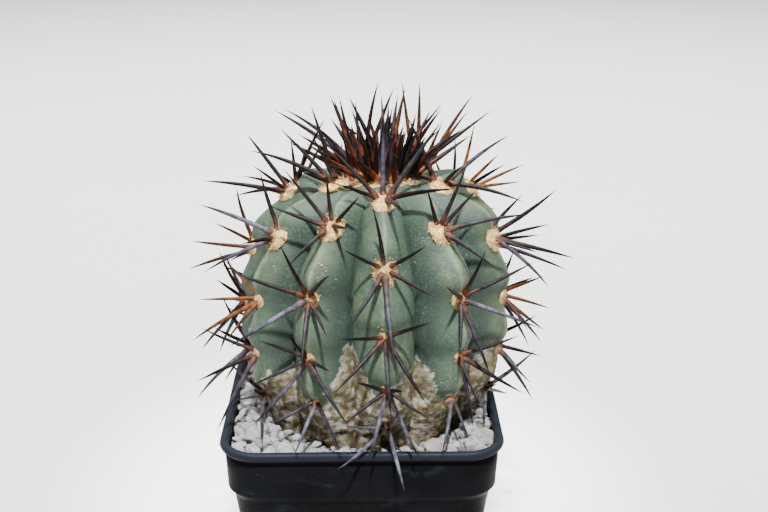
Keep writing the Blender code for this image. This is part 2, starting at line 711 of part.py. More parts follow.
def round_hole(name, z_low, z_high, clearance, collection):
    """Plain turned cutter for the stem's foot, following its leaning axis."""
    rings = []
    heights = np.linspace(z_low, z_high, 4)
    arcs = np.linspace(80.0, ARC_END, 200)
    table = [(profile(s)[1], profile(s)[0]) for s in arcs][::-1]
    for z in heights:
        r = float(np.interp(z, [row[0] for row in table], [row[1] for row in table])) + clearance
        x = STEM_X + LEAN * (z - POT_HEIGHT)
        rings.append([(x + r * math.cos(a), STEM_Y + r * math.sin(a), z)
                      for a in np.arange(HOLE_SIDES) * (2 * math.pi / HOLE_SIDES)])
    hole = add_object(name, loft(name, rings), collection)
    hole.hide_render = True
    hole.display_type = "WIRE"


def fill_ring(z, inset):
    half, corner = inside_half(z)
    return rounded_square(half - inset, corner - inset, z)


def make_soil(collection, cutters):
    step_low = POT_HEIGHT - BAND_DEPTH - STEP_DROP
    step_high = POT_HEIGHT - BAND_DEPTH
    heights = (FLOOR + GAP, step_low, step_high, SOIL_TOP)
    soil = add_object("potting_mix", loft("potting_mix", [fill_ring(z, 0.4) for z in heights]), collection)
    foot = profile(ARC_END)[1]
    round_hole("foot", foot - GAP, SOIL_TOP + 2.0, 0.5, cutters)
    apply_boolean(soil, cutters, "DIFFERENCE")
    give_material(soil, "potting_mix")


def make_grain(x, y, z, size, rng, collection):
    """A broken pumice grain: a round primitive squeezed and turned, with uneven corners."""
    bm = bmesh.new()
    bmesh.ops.create_icosphere(bm, subdivisions=1, radius=1.0)
    spin = Vector((rng.uniform(-1, 1), rng.uniform(-1, 1), rng.uniform(-1, 1))).to_track_quat("Z", "Y")
    shape = Vector((rng.uniform(0.85, 1.3), rng.uniform(0.8, 1.1), rng.uniform(0.7, 0.95)))
    for vert in bm.verts:
        jitter = rng.uniform(0.82, 1.12)
        local = spin @ Vector([c * k * size * jitter for c, k in zip(vert.co, shape)])
        vert.co = (Vector((x, y, z)) + local) * MM
    mesh = bpy.data.meshes.new("grain")
    bm.to_mesh(mesh)
    bm.free()
    add_object("grain", mesh, collection)


def make_top_dressing(collection, cutters, pieces):
    bed_rings = [fill_ring(z, 0.4) for z in (SOIL_TOP + GAP, BED_TOP)]
    bed = add_object("pumice_top_dressing", loft("bed", bed_rings), collection)
    rng = random.Random(SEED + 2)
    spots = []
    tries = 0
    while len(spots) < GRAINS and tries < 20000:
        tries += 1
        size = GRAIN_SIZE * rng.uniform(0.75, 1.25)
        x, y = rng.uniform(-33.5, 33.5), rng.uniform(-33.5, 33.5)
        from_stem = math.hypot(x - STEM_X, y - STEM_Y)
        corner = max(abs(x) - 26.0, 0.0) ** 2 + max(abs(y) - 26.0, 0.0) ** 2
        if from_stem < 30.6 + 0.6 * size or corner > (7.9 - 0.4 * size) ** 2:
            continue
        if any(math.hypot(x - a, y - b) < 0.8 * (size + c) for a, b, c in spots):
            continue
        spots.append((x, y, size))
    for x, y, size in spots:
        make_grain(x, y, BED_TOP + rng.uniform(-0.3, 0.2) * size, size, rng, pieces)
    apply_boolean(bed, pieces, "UNION")
    trim = [fill_ring(z, 0.4) for z in (SOIL_TOP + GAP - 1.0, BED_TOP, GRAIN_TOP)]
    add_object("trim", loft("trim", trim), pieces)
    apply_boolean(bed, pieces, "INTERSECT")
    round_hole("foot", SOIL_TOP - 1.0, POT_HEIGHT + 2.0, 0.5, cutters)
    apply_boolean(bed, cutters, "DIFFERENCE")
    keep_outer_body(bed)
    give_material(bed, "pumice_top_dressing")


def main():
    clear_scene()
    parts = new_collection("potted_cactus")
    cutters = new_collection("cutters")
    pieces = new_collection("pieces")
    make_pot(parts, cutters)
    make_soil(parts, cutters)
    make_top_dressing(parts, cutters, pieces)
    spines = make_cactus(parts, pieces)
    make_crown(parts, pieces, spines)
    for obj in parts.objects:
        obj.data.shade_smooth()
        obj.data.set_sharp_from_angle(angle=math.radians(40))


main()
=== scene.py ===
"""Looks of the ribbed globe cactus in its square black nursery pot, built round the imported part.

Frame: metres, +Z up, origin at the centre of the pot's underside, front of the plant toward -Y.
Lengths below are in millimetres and become metres when a mesh is made. Those of the materials, the
light and the camera are in metres. Angles are in degrees.
"""

import math
import random

import bmesh
import bpy
import numpy as np
from mathutils import Matrix, Vector, noise


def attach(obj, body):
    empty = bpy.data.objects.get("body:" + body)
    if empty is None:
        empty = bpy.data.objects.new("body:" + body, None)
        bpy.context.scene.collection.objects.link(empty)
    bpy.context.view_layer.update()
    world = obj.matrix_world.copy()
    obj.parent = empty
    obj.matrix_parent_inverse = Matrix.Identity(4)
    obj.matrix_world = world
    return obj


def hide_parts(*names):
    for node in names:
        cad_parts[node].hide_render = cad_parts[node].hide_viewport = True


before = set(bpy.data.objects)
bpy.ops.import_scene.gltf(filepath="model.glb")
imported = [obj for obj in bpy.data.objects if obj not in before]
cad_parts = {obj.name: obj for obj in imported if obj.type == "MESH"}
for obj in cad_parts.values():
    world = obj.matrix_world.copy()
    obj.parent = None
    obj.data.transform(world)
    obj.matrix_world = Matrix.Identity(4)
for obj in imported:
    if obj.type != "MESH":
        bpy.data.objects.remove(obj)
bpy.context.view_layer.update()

MM = 0.001
SEED = 11

# Pot
POT_HEIGHT = 65.0
LIP_HALF = 37.5
LIP_WIDTH = 2.2
LIP_HEIGHT = 2.2
LIP_CORNER = 10.5
BAND_TOP_HALF = 36.1
BAND_BOTTOM_HALF = 35.6
BAND_DEPTH = 13.3
STEP_IN = 1.6
STEP_DROP = 2.2
BASE_HALF = 27.5
BASE_CORNER = 6.5
WALL = 1.0
FLOOR = 1.5
CORNER_POINTS = 15
SIDE_POINTS = 13
WALL_ROWS = 8
DRAIN_RADIUS = 3.0
DRAIN_OFFSET = 14.0
DRAIN_SIDES = 32
# How much smaller the corners are than the lip's, under the step, over it and halfway up the band
STEP_CORNER, BAND_CORNER, BAND_MIDDLE_CORNER = 3.0, 1.8, 1.6
INNER_CORNER, INNER_DROP = 0.1, 0.5  # where the lip's inside meets the wall
# Rounded edges of the pot, as rows of mm out, mm off the corner's radius and mm up
FOOT_EDGE = ((-0.8, 0.8, 0.0), (-0.25, 0.3, 0.25), (0.0, 0.0, 0.8))
STEP_EDGE = ((0.0, STEP_CORNER, -0.3), (0.18, 2.9, 0.25))
BAND_EDGE = ((-0.35, 2.0, -0.45), (-0.05, 1.85, -0.1), (0.0, BAND_CORNER, 0.4))
GROOVE = ((0.0, 1.4, -1.5), (-0.25, 1.5, -1.15), (-0.2, 1.4, -0.8), (0.2, 1.2, -0.45))
LIP_EDGE = ((-0.7, 0.7, -1.0), (-0.2, 0.2, -0.8), (0.0, 0.0, -0.55), (-0.15, 0.15, -0.25),
            (-0.4, 0.4, -0.06), (-0.8, 0.8, 0.0))  # up as a share of the lip's height
INNER_EDGE = ((0.6, -0.6, 0.0), (0.2, -0.2, -0.15), (0.0, 0.0, -0.5))
# Unevenness of the walls: mm, frequency along each axis, and the heights between which it sets in
SAG, SAG_FIELD, SAG_FROM = 0.22, (0.045, 0.045, 0.06), (2.0, 20.0)
SHARP_ANGLE = 55.0  # edges bent more than this look sharp
# The lip is painted a brighter, bluer black as a highlight
LIP_HIGHLIGHT_BLEND = 0.6  # how far each way the band's black turns to the lip's

# Fill
SOIL_TOP = POT_HEIGHT - 8.0
BED_TOP = POT_HEIGHT - 3.9
GRAIN_TOP = POT_HEIGHT - 1.6

# Stem: crest profile as (radius, height over the pot's lip), from the buried foot to the apex
CREST = (
    (19.0, -15.0), (24.0, -11.5), (27.6, -7.0), (29.6, -3.0), (31.3, 2.0), (33.3, 9.0),
    (35.0, 21.0), (34.9, 33.0), (33.1, 45.0), (28.6, 54.0), (22.0, 59.8), (14.0, 62.6),
    (6.0, 62.4), (0.0, 61.8),
)
STEM_X, STEM_Y = 2.4, 1.0
LEAN = 0.05
RIBS = 11
# Azimuth of each rib's crest, degrees from -Y toward +X, near the crown, halfway down and at the foot
RIB_LINES = (
    (1.0, 2.8, 6.0), (31.5, 37.5, 36.5), (66.5, 74.0, 69.0), (106.0, 106.0, 103.0),
    (137.0, 138.0, 136.0), (169.0, 168.5, 170.0), (200.0, 201.0, 202.0), (233.0, 232.0, 233.5),
    (266.0, 265.0, 265.0), (301.0, 298.0, 300.0), (332.5, 329.5, 335.5),
)
RIB_LINE_ARCS = (22.0, 52.0, 80.0)
FURROW = 6.3
FURROW_STARTS, FURROW_FADES, FURROW_ENDS = (9.0, 34.0), (62.0, 86.0), (88.0, 94.0)  # mm from the apex
FURROW_FADE = 0.55
CREST_ROUND = 0.16  # share of the rib's half width over which its crest is rounded
FLAT_SHARE, BARREL = 0.7, 0.96  # how flat the flanks are, and how far round their barrel goes
BULGE = 2.3  # the rib swells most a little above each areole, which sits in the notch under the swelling
BULGE_ABOVE = 5.0
BULGE_LENGTHS = (6.5, 3.6)  # above and below the top of the swelling
SWELLS_FROM, SWELLS_TO = (8.0, 20.0), (84.0, 90.0)
RIB_POINTS = 28
RIB_CROWDING = 0.6  # how much the points gather at the crests and furrows
RING_STEP = 0.85
SLOPE_REACH, TURN_REACH = 1.5, 0.05  # how far each way a slope is taken, in mm and in ribs
# Where the corky bark begins, mm from the apex: on each crest, and in the furrow after it
CORK_CREST = (71.0, 77.0, 69.0, 71.0, 75.0, 70.0, 74.0, 69.0, 72.0, 75.0, 76.5)
CORK_FURROW = (66.0, 71.0, 64.0, 60.0, 66.0, 58.0, 67.0, 61.0, 65.0, 70.5, 62.5)
CORK_TONGUES = (0.22, 0.92)  # where its tongues start to rise and are highest, from crest to furrow
CORK_EDGE = 1.9  # how far each way skin gives way to bark
# Unevenness of that edge, of the skin and of the bark, as pairs of mm and frequency
CORK_RAGGED = ((3.4, 0.16), (1.9, 0.55), (1.7, 1.4), (1.2, 3.1))
SKIN_LUMPS = ((0.30, 0.09), (0.10, 0.33))
BARK_LUMPS = ((0.24, 0.75), (0.20, 1.9))
BARK_LINES, BARK_LINE_FIELD = 0.34, (0.25, 0.25, 1.1)  # ridges round the foot
BARK_SINK = 0.18
# Line raised on each crest and cut in each furrow: mm, share of the rib's half width, and mm from the
# apex between which it sets in
CREST_LINE, CREST_WIDTH, CREST_FROM = 0.24, 0.07, (16.0, 26.0)
CUT_LINE, CUT_WIDTH, CUT_FROM = 0.50, 0.05, (12.0, 30.0)
# The crest's pale colour line is partly worn skin and partly painted highlight
# The furrow's dark colour line is painted shade
CREST_TINT_WIDTH, CUT_TINT_FROM = 0.085, (10.0, 26.0)  # the same for their colours

# Skin: how much painted shade darkens the flanks of the ribs (little on the front rib, which faces the
# light), and how much more painted shade darkens the skin near the apex
FRONT_RIB_PAINTED_SHADE, OTHER_RIB_PAINTED_SHADE = 0.1, 1.4
FLANK_SIDES, FLANK_ARCS = (0.22, 0.80), (18.0, 36.0)  # from crest to furrow, and mm from the apex
APEX_PAINTED_SHADE, APEX_SHADE_ARCS = 0.65, (20.0, 42.0)
# How far full painted shade darkens the skin
PAINTED_SHADE_SHARE = 0.74

# Areoles: distance along the crest from the apex is a + b n - c n^2, with n from each rib's phase
AREOLE_A, AREOLE_B, AREOLE_C = 18.6, 21.4, 1.42
PHASES = (0.0, 0.54, -0.08, 0.35, -0.10, 0.45, -0.05, 0.60, 0.30, -0.20, 0.47)
FIRST_AREOLE, LAST_AREOLE = 13.0, 84.0
PAD_RADIUS = 3.6
PAD_DEPTH = 2.5
PAD_SINK = 0.9
PAD_ARCS = (38.0, 47.0, 55.0, 64.0, 84.0)  # the pads get smaller down the stem
PAD_SIZES = (1.0, 0.80, 0.66, 0.56, 0.42)
PAD_MIDDLE = 0.4  # height of its middle over the skin
PAD_ACROSS, PAD_ALONG = 0.82, 1.16  # of the wool, as shares of its pad's radius
WOOL_DEPTH = 0.76 * PAD_DEPTH
WOOL_LUMPS = ((0.16, 2.6), (0.07, 7.0))  # shares of the radius, and frequency
WOOL_RINGS, PAD_SIDES, CROWN_SIDES = 13, 36, 72
PAD_TONE, CROWN_TONE = 0.36, 0.25  # from brown wool at 0 to cream
WORN, WORN_ARCS = 0.9, (36.0, 72.0)  # how worn the lowest wool is, and from where to where
# Round each spine's root the wool gets a brown stain and painted shade
ROOT_STAIN_AND_SHADE_WIDTH = 1.75  # of the dark hollow round each spine

# Hairs of the wool: on the largest pad, the power of a pad's size by which they get fewer, and their
# length as a share of its radius
PAD_HAIRS, FEWER_HAIRS, PAD_HAIR_LENGTH = 420, 1.5, 0.34
HAIR_RADIUS = 0.065
HAIR_CAP, HAIR_SEAT = 0.96, 0.96  # how far round the cushion they grow, and how deep they start
HAIR_STRAY, HAIR_LIFT, HAIR_CURL = 0.45, 0.25, 0.13
HAIR_LENGTHS = (0.45, 1.15)

# Drops of dried resin, which are amber, and flecks of wax: rib coordinate, mm from the apex and radius
RESIN_DROPS = (
    (-0.90, 38.5, 0.36), (-0.945, 38.2, 0.20), (-0.86, 38.9, 0.20), (0.54, 36.5, 0.16), (-0.03, 53.0, 0.28),
    (0.05, 52.6, 0.18),
)
WAX_FLECKS = (
    (-0.83, 39.7, 0.16), (-0.85, 40.6, 0.13), (-0.90, 41.5, 0.15), (-0.885, 42.2, 0.11), (-0.93, 40.6, 0.12),
    (-0.70, 41.5, 0.13), (-0.76, 50.0, 0.16), (0.16, 35.5, 0.15), (0.13, 35.9, 0.11), (-0.05, 51.6, 0.15),
    (-0.08, 52.4, 0.14), (-1.82, 42.2, 0.14), (-1.78, 42.9, 0.11), (0.78, 70.5, 0.14), (0.74, 71.6, 0.11),
    (0.83, 72.3, 0.15), (0.70, 73.0, 0.10),
)
SPECK_LUMPS, SPECK_SHAPE, SPECK_SEAT = ((0.85, 1.7),), (1.15, 0.85, 0.45), 0.15  # shares of the radius

# Spines
SPINE_RADIUS = 0.72
SPINE_BEND = 0.035
STRAIGHT_BELOW = 13.0
SHORTEST, LONGEST = 13.0, 32.0
ROOT_SPREAD, LEAST_SPREAD = 2.4, 0.3
FULL_LEAN = 9.0
ROOT_CENTRING = 0.7
ROOT_RAISE, ROOT_SINK = 0.6, 1.4
LIP_CLEARANCE = 1.0
GRAIN_CLEARANCE = 0.9
CLEAR_FROM, CLEAR_STEPS = 0.2, 17
TRIES, HALVINGS, SAMPLES = 24, 30, 25
VIEW_YAW, VIEW_PITCH = 0.99, 19.4
SPINE_TILT = 62.0
REACH_LEAST, REACH_MOST, REACH_ELSE, REACH_STEP = -10.0, 24.0, 4.0, 1.5  # toward the viewer
BULB, BULB_PLACE, BULB_WIDTH, TAPER = 0.38, 0.07, 0.045, 2.5  # swollen foot and long taper
THIN, THICKER = 0.53, 0.018  # share of SPINE_RADIUS, and more for each mm of length
CURL = 0.012
OLD_ARCS, OLD_FADE = (62.0, 84.0), 0.20  # where they are old, and how much less dark their tips
SPINE_SWELLS = (0.9, 1.08)

# Spines seen in the photograph's view, by (rib, areole): where each tip lies from its areole, right and up
SEEN_SPINES = {
    (0, 0): ((-15, 14.5), (0, 21.5), (15, 20), (-12, 3.5), (17.4, 1.7), (5, -4)),
    (0, 1): ((-3, 15.5), (-10, 5), (10, 6), (-9.5, -14.5), (2.5, -24), (12, -6.5)),
    (0, 2): ((-11.5, 0.5), (11, 4.5), (-12.6, -13), (1.5, -19.5), (10, -15.5)),
    (0, 3): ((-7.5, 3.5), (4, 1.5), (-10.5, -7.6), (10.7, -6.4), (-4.8, -18), (8.7, -17.2)),
    (0, 4): ((-10.3, 2), (3.8, 6.2), (4.8, -14.7), (-12.7, -10)),
    (10, 0): ((-1, 14), (-12, 14.5), (-15.5, 5), (7.5, 7), (4.5, -1), (-9.5, -10)),
    (10, 1): ((-6.5, 13.5), (-19.5, 7), (-20.5, -12.5), (6, 6), (-1.2, -19.6), (5, -9.2)),
    (10, 2): ((-4, 6.5), (-12.5, 5), (-14.2, -6.6), (-14.6, -17.2), (6.1, -2.1), (10.9, -15.2)),
    (10, 3): ((-11.5, -5), (-5.4, -13), (6.5, -11.5)),
    (9, 0): ((-22.5, 8.5), (-14.5, 14.5), (-6.3, 20.8), (-9, 3), (-6, 13)),
    (9, 1): ((-4, 16.5), (-20, 8), (-8, -2.5), (-19, -10)),
    (9, 2): ((-15.5, 0), (-8.5, 10.5), (-8, -11), (-17, -11)),
    (9, 3): ((-14.5, 7), (-15.5, -7.5), (-10, -21)),
    (8, 0): ((-24, 2), (-12, 15), (-10, 6), (0, 14), (9.5, 18.5)),
    (8, 1): ((-18, -7), (-4, 16), (-10, 6), (-17, 1)),
    (1, 0): ((-4, 9.5), (6.5, 16.5), (9, 10), (22, 3.5), (13, -10.5)),
    (1, 1): ((5.5, 12.5), (18.5, 9.5), (-4.5, 3.5), (20, -7.5), (7, -19.3), (-1, -13.5)),
    (1, 2): ((15, 5.6), (16.4, -9.5), (3, -18), (4, -11.5)),
    (1, 3): ((-3, -13), (4, -9)),
    (2, 0): ((-9, 18), (18.5, 13), (5, 4), (-10, 2), (22, -5.3)),
    (2, 1): ((7.5, 11), (11.5, -4.5), (14.5, -14), (21.5, -6)),
    (2, 2): ((10, 5.5), (11, -9.5), (12.5, -3.5), (5.5, -9)),
    (2, 3): ((10.5, -1.5), (9, -14), (8, -9)),
    (3, 0): ((15.5, 5.5), (14, 0.5), (1.7, 16.8), (8, 8)),
    (3, 1): ((17, 14), (15, 4), (20, -9), (12, 1)),
    (4, 0): ((-5.4, 23.2), (-0.5, 23.2), (14.6, 19.8), (13, 15), (6, 12)),
    (6, 0): ((-24.2, 14.8), (-21.4, 15.1), (-5.5, 18.5), (-1, 17.5), (5.7, 23), (9.9, 21)),
}

# Those that arch upward in it: (rib, areole, place in its list) and by how many mm
ARCHED = {(2, 0, 4): 1.0}

# How grey those of the front are, judged one by one: 0 for black, 1 for lavender grey, in the same order
SEEN_GREY = {
    (0, 0): (0.18, 0.66, 0.30, 0.05, 0.05, 0.35), (0, 1): (0.0, 0.10, 0.05, 0.35, 0.55, 0.20),
    (0, 2): (0.0, 0.0, 0.25, 0.60, 0.25), (0, 3): (0.0, 0.10, 0.25, 0.20, 0.95, 0.80),
    (0, 4): (0.85, 0.60, 1.0, 0.95), (10, 0): (0.0, 0.10, 0.05, 0.10, 0.20, 0.25),
    (10, 1): (0.0, 0.05, 0.95, 0.15, 0.40, 0.30), (10, 2): (0.0, 0.10, 0.45, 0.70, 0.25, 0.35),
    (9, 1): (0.0, 0.85, 0.0, 0.85), (1, 0): (0.05, 0.05, 0.15, 0.35, 0.40),
    (1, 1): (0.0, 0.15, 0.05, 0.95, 0.40, 0.35), (1, 2): (0.05, 0.20, 0.35, 0.25),
    (2, 0): (0.10, 0.60, 0.20, 0.05, 0.15), (2, 1): (0.05, 0.20, 0.80, 0.10),
}

# The other areoles follow a rule: direction round the areole (0 is up), tilt from its normal, length
RULE_SPINES = (
    (2, 66, 16.0), (-52, 68, 17.0), (54, 68, 17.0), (-112, 66, 16.0), (110, 66, 16.0),
    (-158, 62, 18.0), (170, 46, 21.0),
)
FEW_SPINES_FROM, FEW_SPINES = 74.0, slice(1, 5)  # the lowest areoles have only four of them
# Young areoles' spines are longer and stand more upright, the upper ones most
YOUNG_SPINES, YOUNG_LONGER, YOUNG_UPRIGHT, YOUNG_LOWER = (20.0, 32.0), 0.22, 0.34, 0.12
RULE_LENGTHS, RULE_TURN, RULE_LEAN = (0.75, 1.2), 9, 7  # by chance
RAISED = (0.94, 0.97, 0.985)  # shares of direction, tilt and length kept at each try to clear the pot

# Grey of the other spines: for hanging, for age and by chance
GREY_DOWN, GREY_DOWN_FROM, GREY_OLD, GREY_CHANCE = 0.78, (0.10, 0.70), 0.45, (-0.36, 0.12)
GREY_POWER = 1.7

# Areoles whose spines are amber, by (rib, areole), and how much so
AMBER_SPINES = {(3, 0): 0.95, (9, 2): 0.62, (2, 2): 0.45, (4, 0): 0.4, (8, 1): 0.25}
AMBER_ELSE, AMBER_CHANCE = 0.03, (0.7, 1.25)

# Crown
CROWN_RADIUS = 10.4
CROWN_RAISE = 3.0
CROWN_SPINES = 46
CROWN_ROOTS = 9.2
CROWN_SPREAD = 56.0
CROWN_TILT_MOST = 64.0
CROWN_CLEARANCE = 2.0
CROWN_SPINE_RADIUS, CROWN_SWELLS = 0.76, (0.92, 1.18)
CROWN_TRIES, CROWN_BELOW = 40, 52.0  # only stem spines rooted higher over the lip come near the tuft
CROWN_TURN, CROWN_WAY, CROWN_LEAN = 14, 40, 18  # by chance
CROWN_POWER = 1.3
CROWN_LENGTH, CROWN_CHANCE, CROWN_OUTER, CROWN_BACK = 8.0, 8.0, 3.0, 4.0  # least, then what is added
CROWN_ROOT_RAISE = 1.2
CROWN_MIDDLE, CROWN_SINK = 0.5, 0.2
# Short young spines that thicken the tuft
CROWN_EXTRA = 58
EXTRA_TURN, EXTRA_WAY, EXTRA_SPREAD, EXTRA_LEAN = 30, 60, 40.0, 20
EXTRA_OUT, EXTRA_LENGTHS, EXTRA_RAISE, EXTRA_BEND = 0.8, (6.5, 13.5), 0.9, 0.03
CROWN_HAIRS, CROWN_HAIR_LENGTH = 3600, 2.6
LOOSE_WOOL = 0.7  # how far it spreads past the solid one
GOLDEN_ANGLE = 137.5

# Crown spines seen in the view: where the root lies right and back of the crown's middle, then where the
# tip lies right of it, above it and toward the viewer
CROWN_SEEN = (
    (-4.7, 0.0, -13.8, 22.8, 1.0), (-6.2, -2.0, -12.6, 21.6, 4.0), (1.0, 6.0, -8.9, 23.2, -4.0),
    (2.0, 8.0, 6.6, 25.9, -7.0), (2.0, 4.0, 16.6, 21.0, -1.0), (8.5, 3.0, 30.2, 19.3, -2.0),
    (8.3, -4.0, 24.0, 11.9, 6.0), (6.4, -4.0, 18.0, 11.9, 6.0), (5.0, -2.0, 9.4, 17.9, 3.0),
    (6.0, 4.0, 1.8, 18.3, -2.0), (1.0, 2.0, -3.5, 17.7, 1.0), (-1.5, -3.0, -9.3, 14.8, 6.0),
)
CROWN_SHIFTS = (0.0, 1.5, -1.5, 3.0, -3.0, 4.5, -4.5)  # toward the viewer, to keep off other spines

# Pumice layers: piece, fineness of its balls, grains, how close they lie, and height over the bed
PUMICE_LAYERS = (("pumice_top", 3, 330, 0.70, 1.05), ("pumice_under", 2, 330, 0.66, -0.35))
GRAIN_SIZE = 1.80
GRAIN_SIZES = (0.62, 0.8, 1.0, 1.15, 1.4, 1.75)
GRAIN_CUTS, CUT_HEIGHTS, CUT_LEAN = 11, (0.60, 0.95), 0.25  # broken faces of a grain
GRAIN_REACH, GRAIN_PITS = 1.06, ((0.16, 2.4), (0.07, 6.0))
GRAIN_STRETCH = ((0.95, 1.4), (0.85, 1.1), (0.65, 0.95))
NOISE_FIELD = 90  # how far apart the grains' pits are taken from their noise
SCATTER_TRIES = 60000
# How far grains keep from the plant, then shares of a grain's size that keep off it and off the wall
FOOT_GAP, FOOT_SHARE, WALL_SHARE = 1.1, 0.7, 0.85
FOOT_ARC, FOOT_STEPS = 80.0, 120
BED_RIM = 1.0
HEAP_WIDTH, HEAP_RAISE, HEAP_TOP = 5.0, 0.2, 0.8  # of the grains against the plant's foot
GRAIN_JITTER, UNDER_LIP, TOP_SHARE = (-0.3, 0.35), 0.2, 0.55
# Bed of dust: heights up the wall, gap to it, and the rings from there in toward the stem
DUST_HEIGHTS = (SOIL_TOP + 0.3, BED_TOP - 1.2, BED_TOP - 0.9)
DUST_GAP, DUST_INSET, DUST_UNEVEN, DUST_FIELD = 0.4, 0.2, 0.5, 0.5
DUST_RINGS = (0.96, 0.5, 16)

# Light and camera
WORLD_LEVELS = (0.08, 0.46)  # from in front and from behind
WORLD_COLOURS = ((1.0, 0.96, 0.80), (0.96, 0.96, 0.88))  # from the left and from the right
WORLD_DEPTHS, WORLD_SIDES = (-0.9, 0.6), (-0.7, 0.7)  # where those levels and colours are reached
KEY_CONE, KEY_BLEND, KEY_RADIUS, KEY_POWER = 14.0, 0.9, 0.020, 112.0
KEY_PLACE, KEY_AIM, KEY_COLOUR = (0.008, -0.42, 0.80), (0.0, 0.0, 0.09), (0.97, 0.99, 1.0)
TOP_SIZE, TOP_SPREAD, TOP_POWER = 1.6, 120.0, 41.5
TOP_PLACE, TOP_AIM, TOP_COLOUR = (0.0, 0.43, 1.3), (0.0, 0.40, 0.0), (1.0, 0.995, 0.985)
FLOOR_HALF = 6.0
CAMERA_PLACE = (0.0008953, -0.3102725, 0.2148585)
CAMERA_TILT, CAMERA_TURN = 70.6, -0.99
CAMERA_LENS, CAMERA_SENSOR = 56.4375, 36.0


# Form

def smooth_curve(points, steps=12):
    """Catmull-Rom curve through points."""
    pts = np.array(points, float)
    ends = np.vstack([2 * pts[0] - pts[1], pts, 2 * pts[-1] - pts[-2]])
    out = []
    for i in range(1, len(ends) - 2):
        a, b, c, d = ends[i - 1:i + 3]
        for t in np.arange(steps) / steps:
            out.append(0.5 * (2 * b + (c - a) * t + (2 * a - 5 * b + 4 * c - d) * t ** 2
                              + (3 * b - a - 3 * c + d) * t ** 3))
    out.append(pts[-1])
    return np.array(out)


PROFILE = smooth_curve(CREST)[::-1]
ARC = np.concatenate([[0.0], np.cumsum(np.hypot(*np.diff(PROFILE, axis=0).T))])
ARC_END = float(ARC[-1])


def profile(s):
    """Crest radius, height over the pot's underside, and outward normal, s mm down from the apex."""
    (r, z), (r0, z0), (r1, z1) = ([float(np.interp(at, ARC, column)) for column in PROFILE.T]
                                  for at in (s, s - SLOPE_REACH, s + SLOPE_REACH))
    size = math.hypot(r1 - r0, z1 - z0)
    return r, z + POT_HEIGHT, -(z1 - z0) / size, (r1 - r0) / size


def ease(x, start, end):
    """Smooth rise from 0 at start to 1 at end."""
    t = min(max((x - start) / (end - start), 0.0), 1.0)
    return t * t * (3 - 2 * t)


def bell(x):
    return math.exp(-x ** 2)


def lumps(place, sizes, offset=Vector((0, 0, 0))):
    """Sum of noises at a place, one for each pair of size and frequency."""
    return sum(size * noise.noise(place * scale + offset) for size, scale in sizes)


def areole_arcs(rib):
    """Distances of a rib's areoles from the apex, along the crest."""
    arcs = []
    for n in range(-1, 6):
        m = n + PHASES[rib]
        s = AREOLE_A + AREOLE_B * m - AREOLE_C * m * abs(m)
        if FIRST_AREOLE <= s <= LAST_AREOLE:
            arcs.append(s)
    return arcs


AREOLE_ARCS = [areole_arcs(rib) for rib in range(RIBS)]


def crest_azimuth(rib, s):
    """Azimuth of a rib's crest at s; ribs below 0 or past the last go on round the stem."""
    turns, index = divmod(rib, RIBS)
    return 360.0 * turns + float(np.interp(s, RIB_LINE_ARCS, RIB_LINES[index]))


def rib_azimuth(u, s):
    """Azimuth at a rib coordinate: whole numbers are crests, halves are furrows."""
    rib = math.floor(u)
    low, high = crest_azimuth(rib, s), crest_azimuth(rib + 1, s)
    return low + (high - low) * (u - rib)


def rib_section(w):
    """How far the skin lies under the crest: 0 on the crest, 1 in the furrow, with nearly flat flanks."""
    flank = (math.hypot(w, CREST_ROUND) - CREST_ROUND) / (math.hypot(1.0, CREST_ROUND) - CREST_ROUND)
    barrel = (1 - math.sqrt(1 - (BARREL * w) ** 2)) / (1 - math.sqrt(1 - BARREL ** 2))
    return FLAT_SHARE * flank + (1 - FLAT_SHARE) * barrel


def swelling(rib, s):
    """Swelling of a rib's crest at s, from 0 to about 1."""
    total = 0.0
    for a in AREOLE_ARCS[rib % RIBS]:
        x = s - (a - BULGE_ABOVE)
        total += bell(x / BULGE_LENGTHS[0 if x < 0 else 1])
    return total


def axis_point(z):
    """The stem's leaning axis at a height."""
    return np.array((STEM_X + LEAN * (z - POT_HEIGHT), STEM_Y, z))


def stem_point(u, s, bulge=BULGE, relief=0.0):
    """Point on the stem's skin: u is the rib coordinate, s mm from the apex."""
    azimuth = rib_azimuth(u, s)
    r, z, nr, nz = profile(s)
    rib = round(u)
    w = min(abs(2 * (u - rib)), 1.0)
    depth = FURROW * ease(s, *FURROW_STARTS) * (1 - FURROW_FADE * ease(s, *FURROW_FADES))
    depth *= 1 - ease(s, *FURROW_ENDS)
    live = ease(s, *SWELLS_FROM) * (1 - ease(s, *SWELLS_TO))
    out = bulge * swelling(rib, s) * (1 - w * w) * live - depth * rib_section(w) + relief
    r, z = r + nr * out, z + nz * out
    a = math.radians(azimuth)
    return axis_point(z) + np.array((r * math.sin(a), -r * math.cos(a), 0.0))


def unit(v):
    return v / np.linalg.norm(v)


def skin_frame(u, s):
    """Point on the stem's skin, with the normal and upward tangent of the stem without its swellings."""
    up = unit(stem_point(u, s - SLOPE_REACH, 0.0) - stem_point(u, s + SLOPE_REACH, 0.0))
    side = unit(stem_point(u + TURN_REACH, s, 0.0) - stem_point(u - TURN_REACH, s, 0.0))
    return stem_point(u, s), unit(np.cross(side, up)), up


def spine_path(root, tip, bend, t):
    return root + (tip - root) * t + bend * (4 * t * (1 - t))


def clears_pot(root, tip, bend):
    """Whether a spine stays over the pumice and off the lip, all along."""
    for t in np.linspace(CLEAR_FROM, 1.0, CLEAR_STEPS):
        x, y, z = spine_path(root, tip, bend, t)
        reach = max(abs(x), abs(y))
        over_lip = reach > LIP_HALF - LIP_WIDTH - LIP_CLEARANCE
        floor = POT_HEIGHT + LIP_CLEARANCE if over_lip else GRAIN_TOP + GRAIN_CLEARANCE
        if reach < LIP_HALF + LIP_CLEARANCE and z < floor:
            return False
    return True


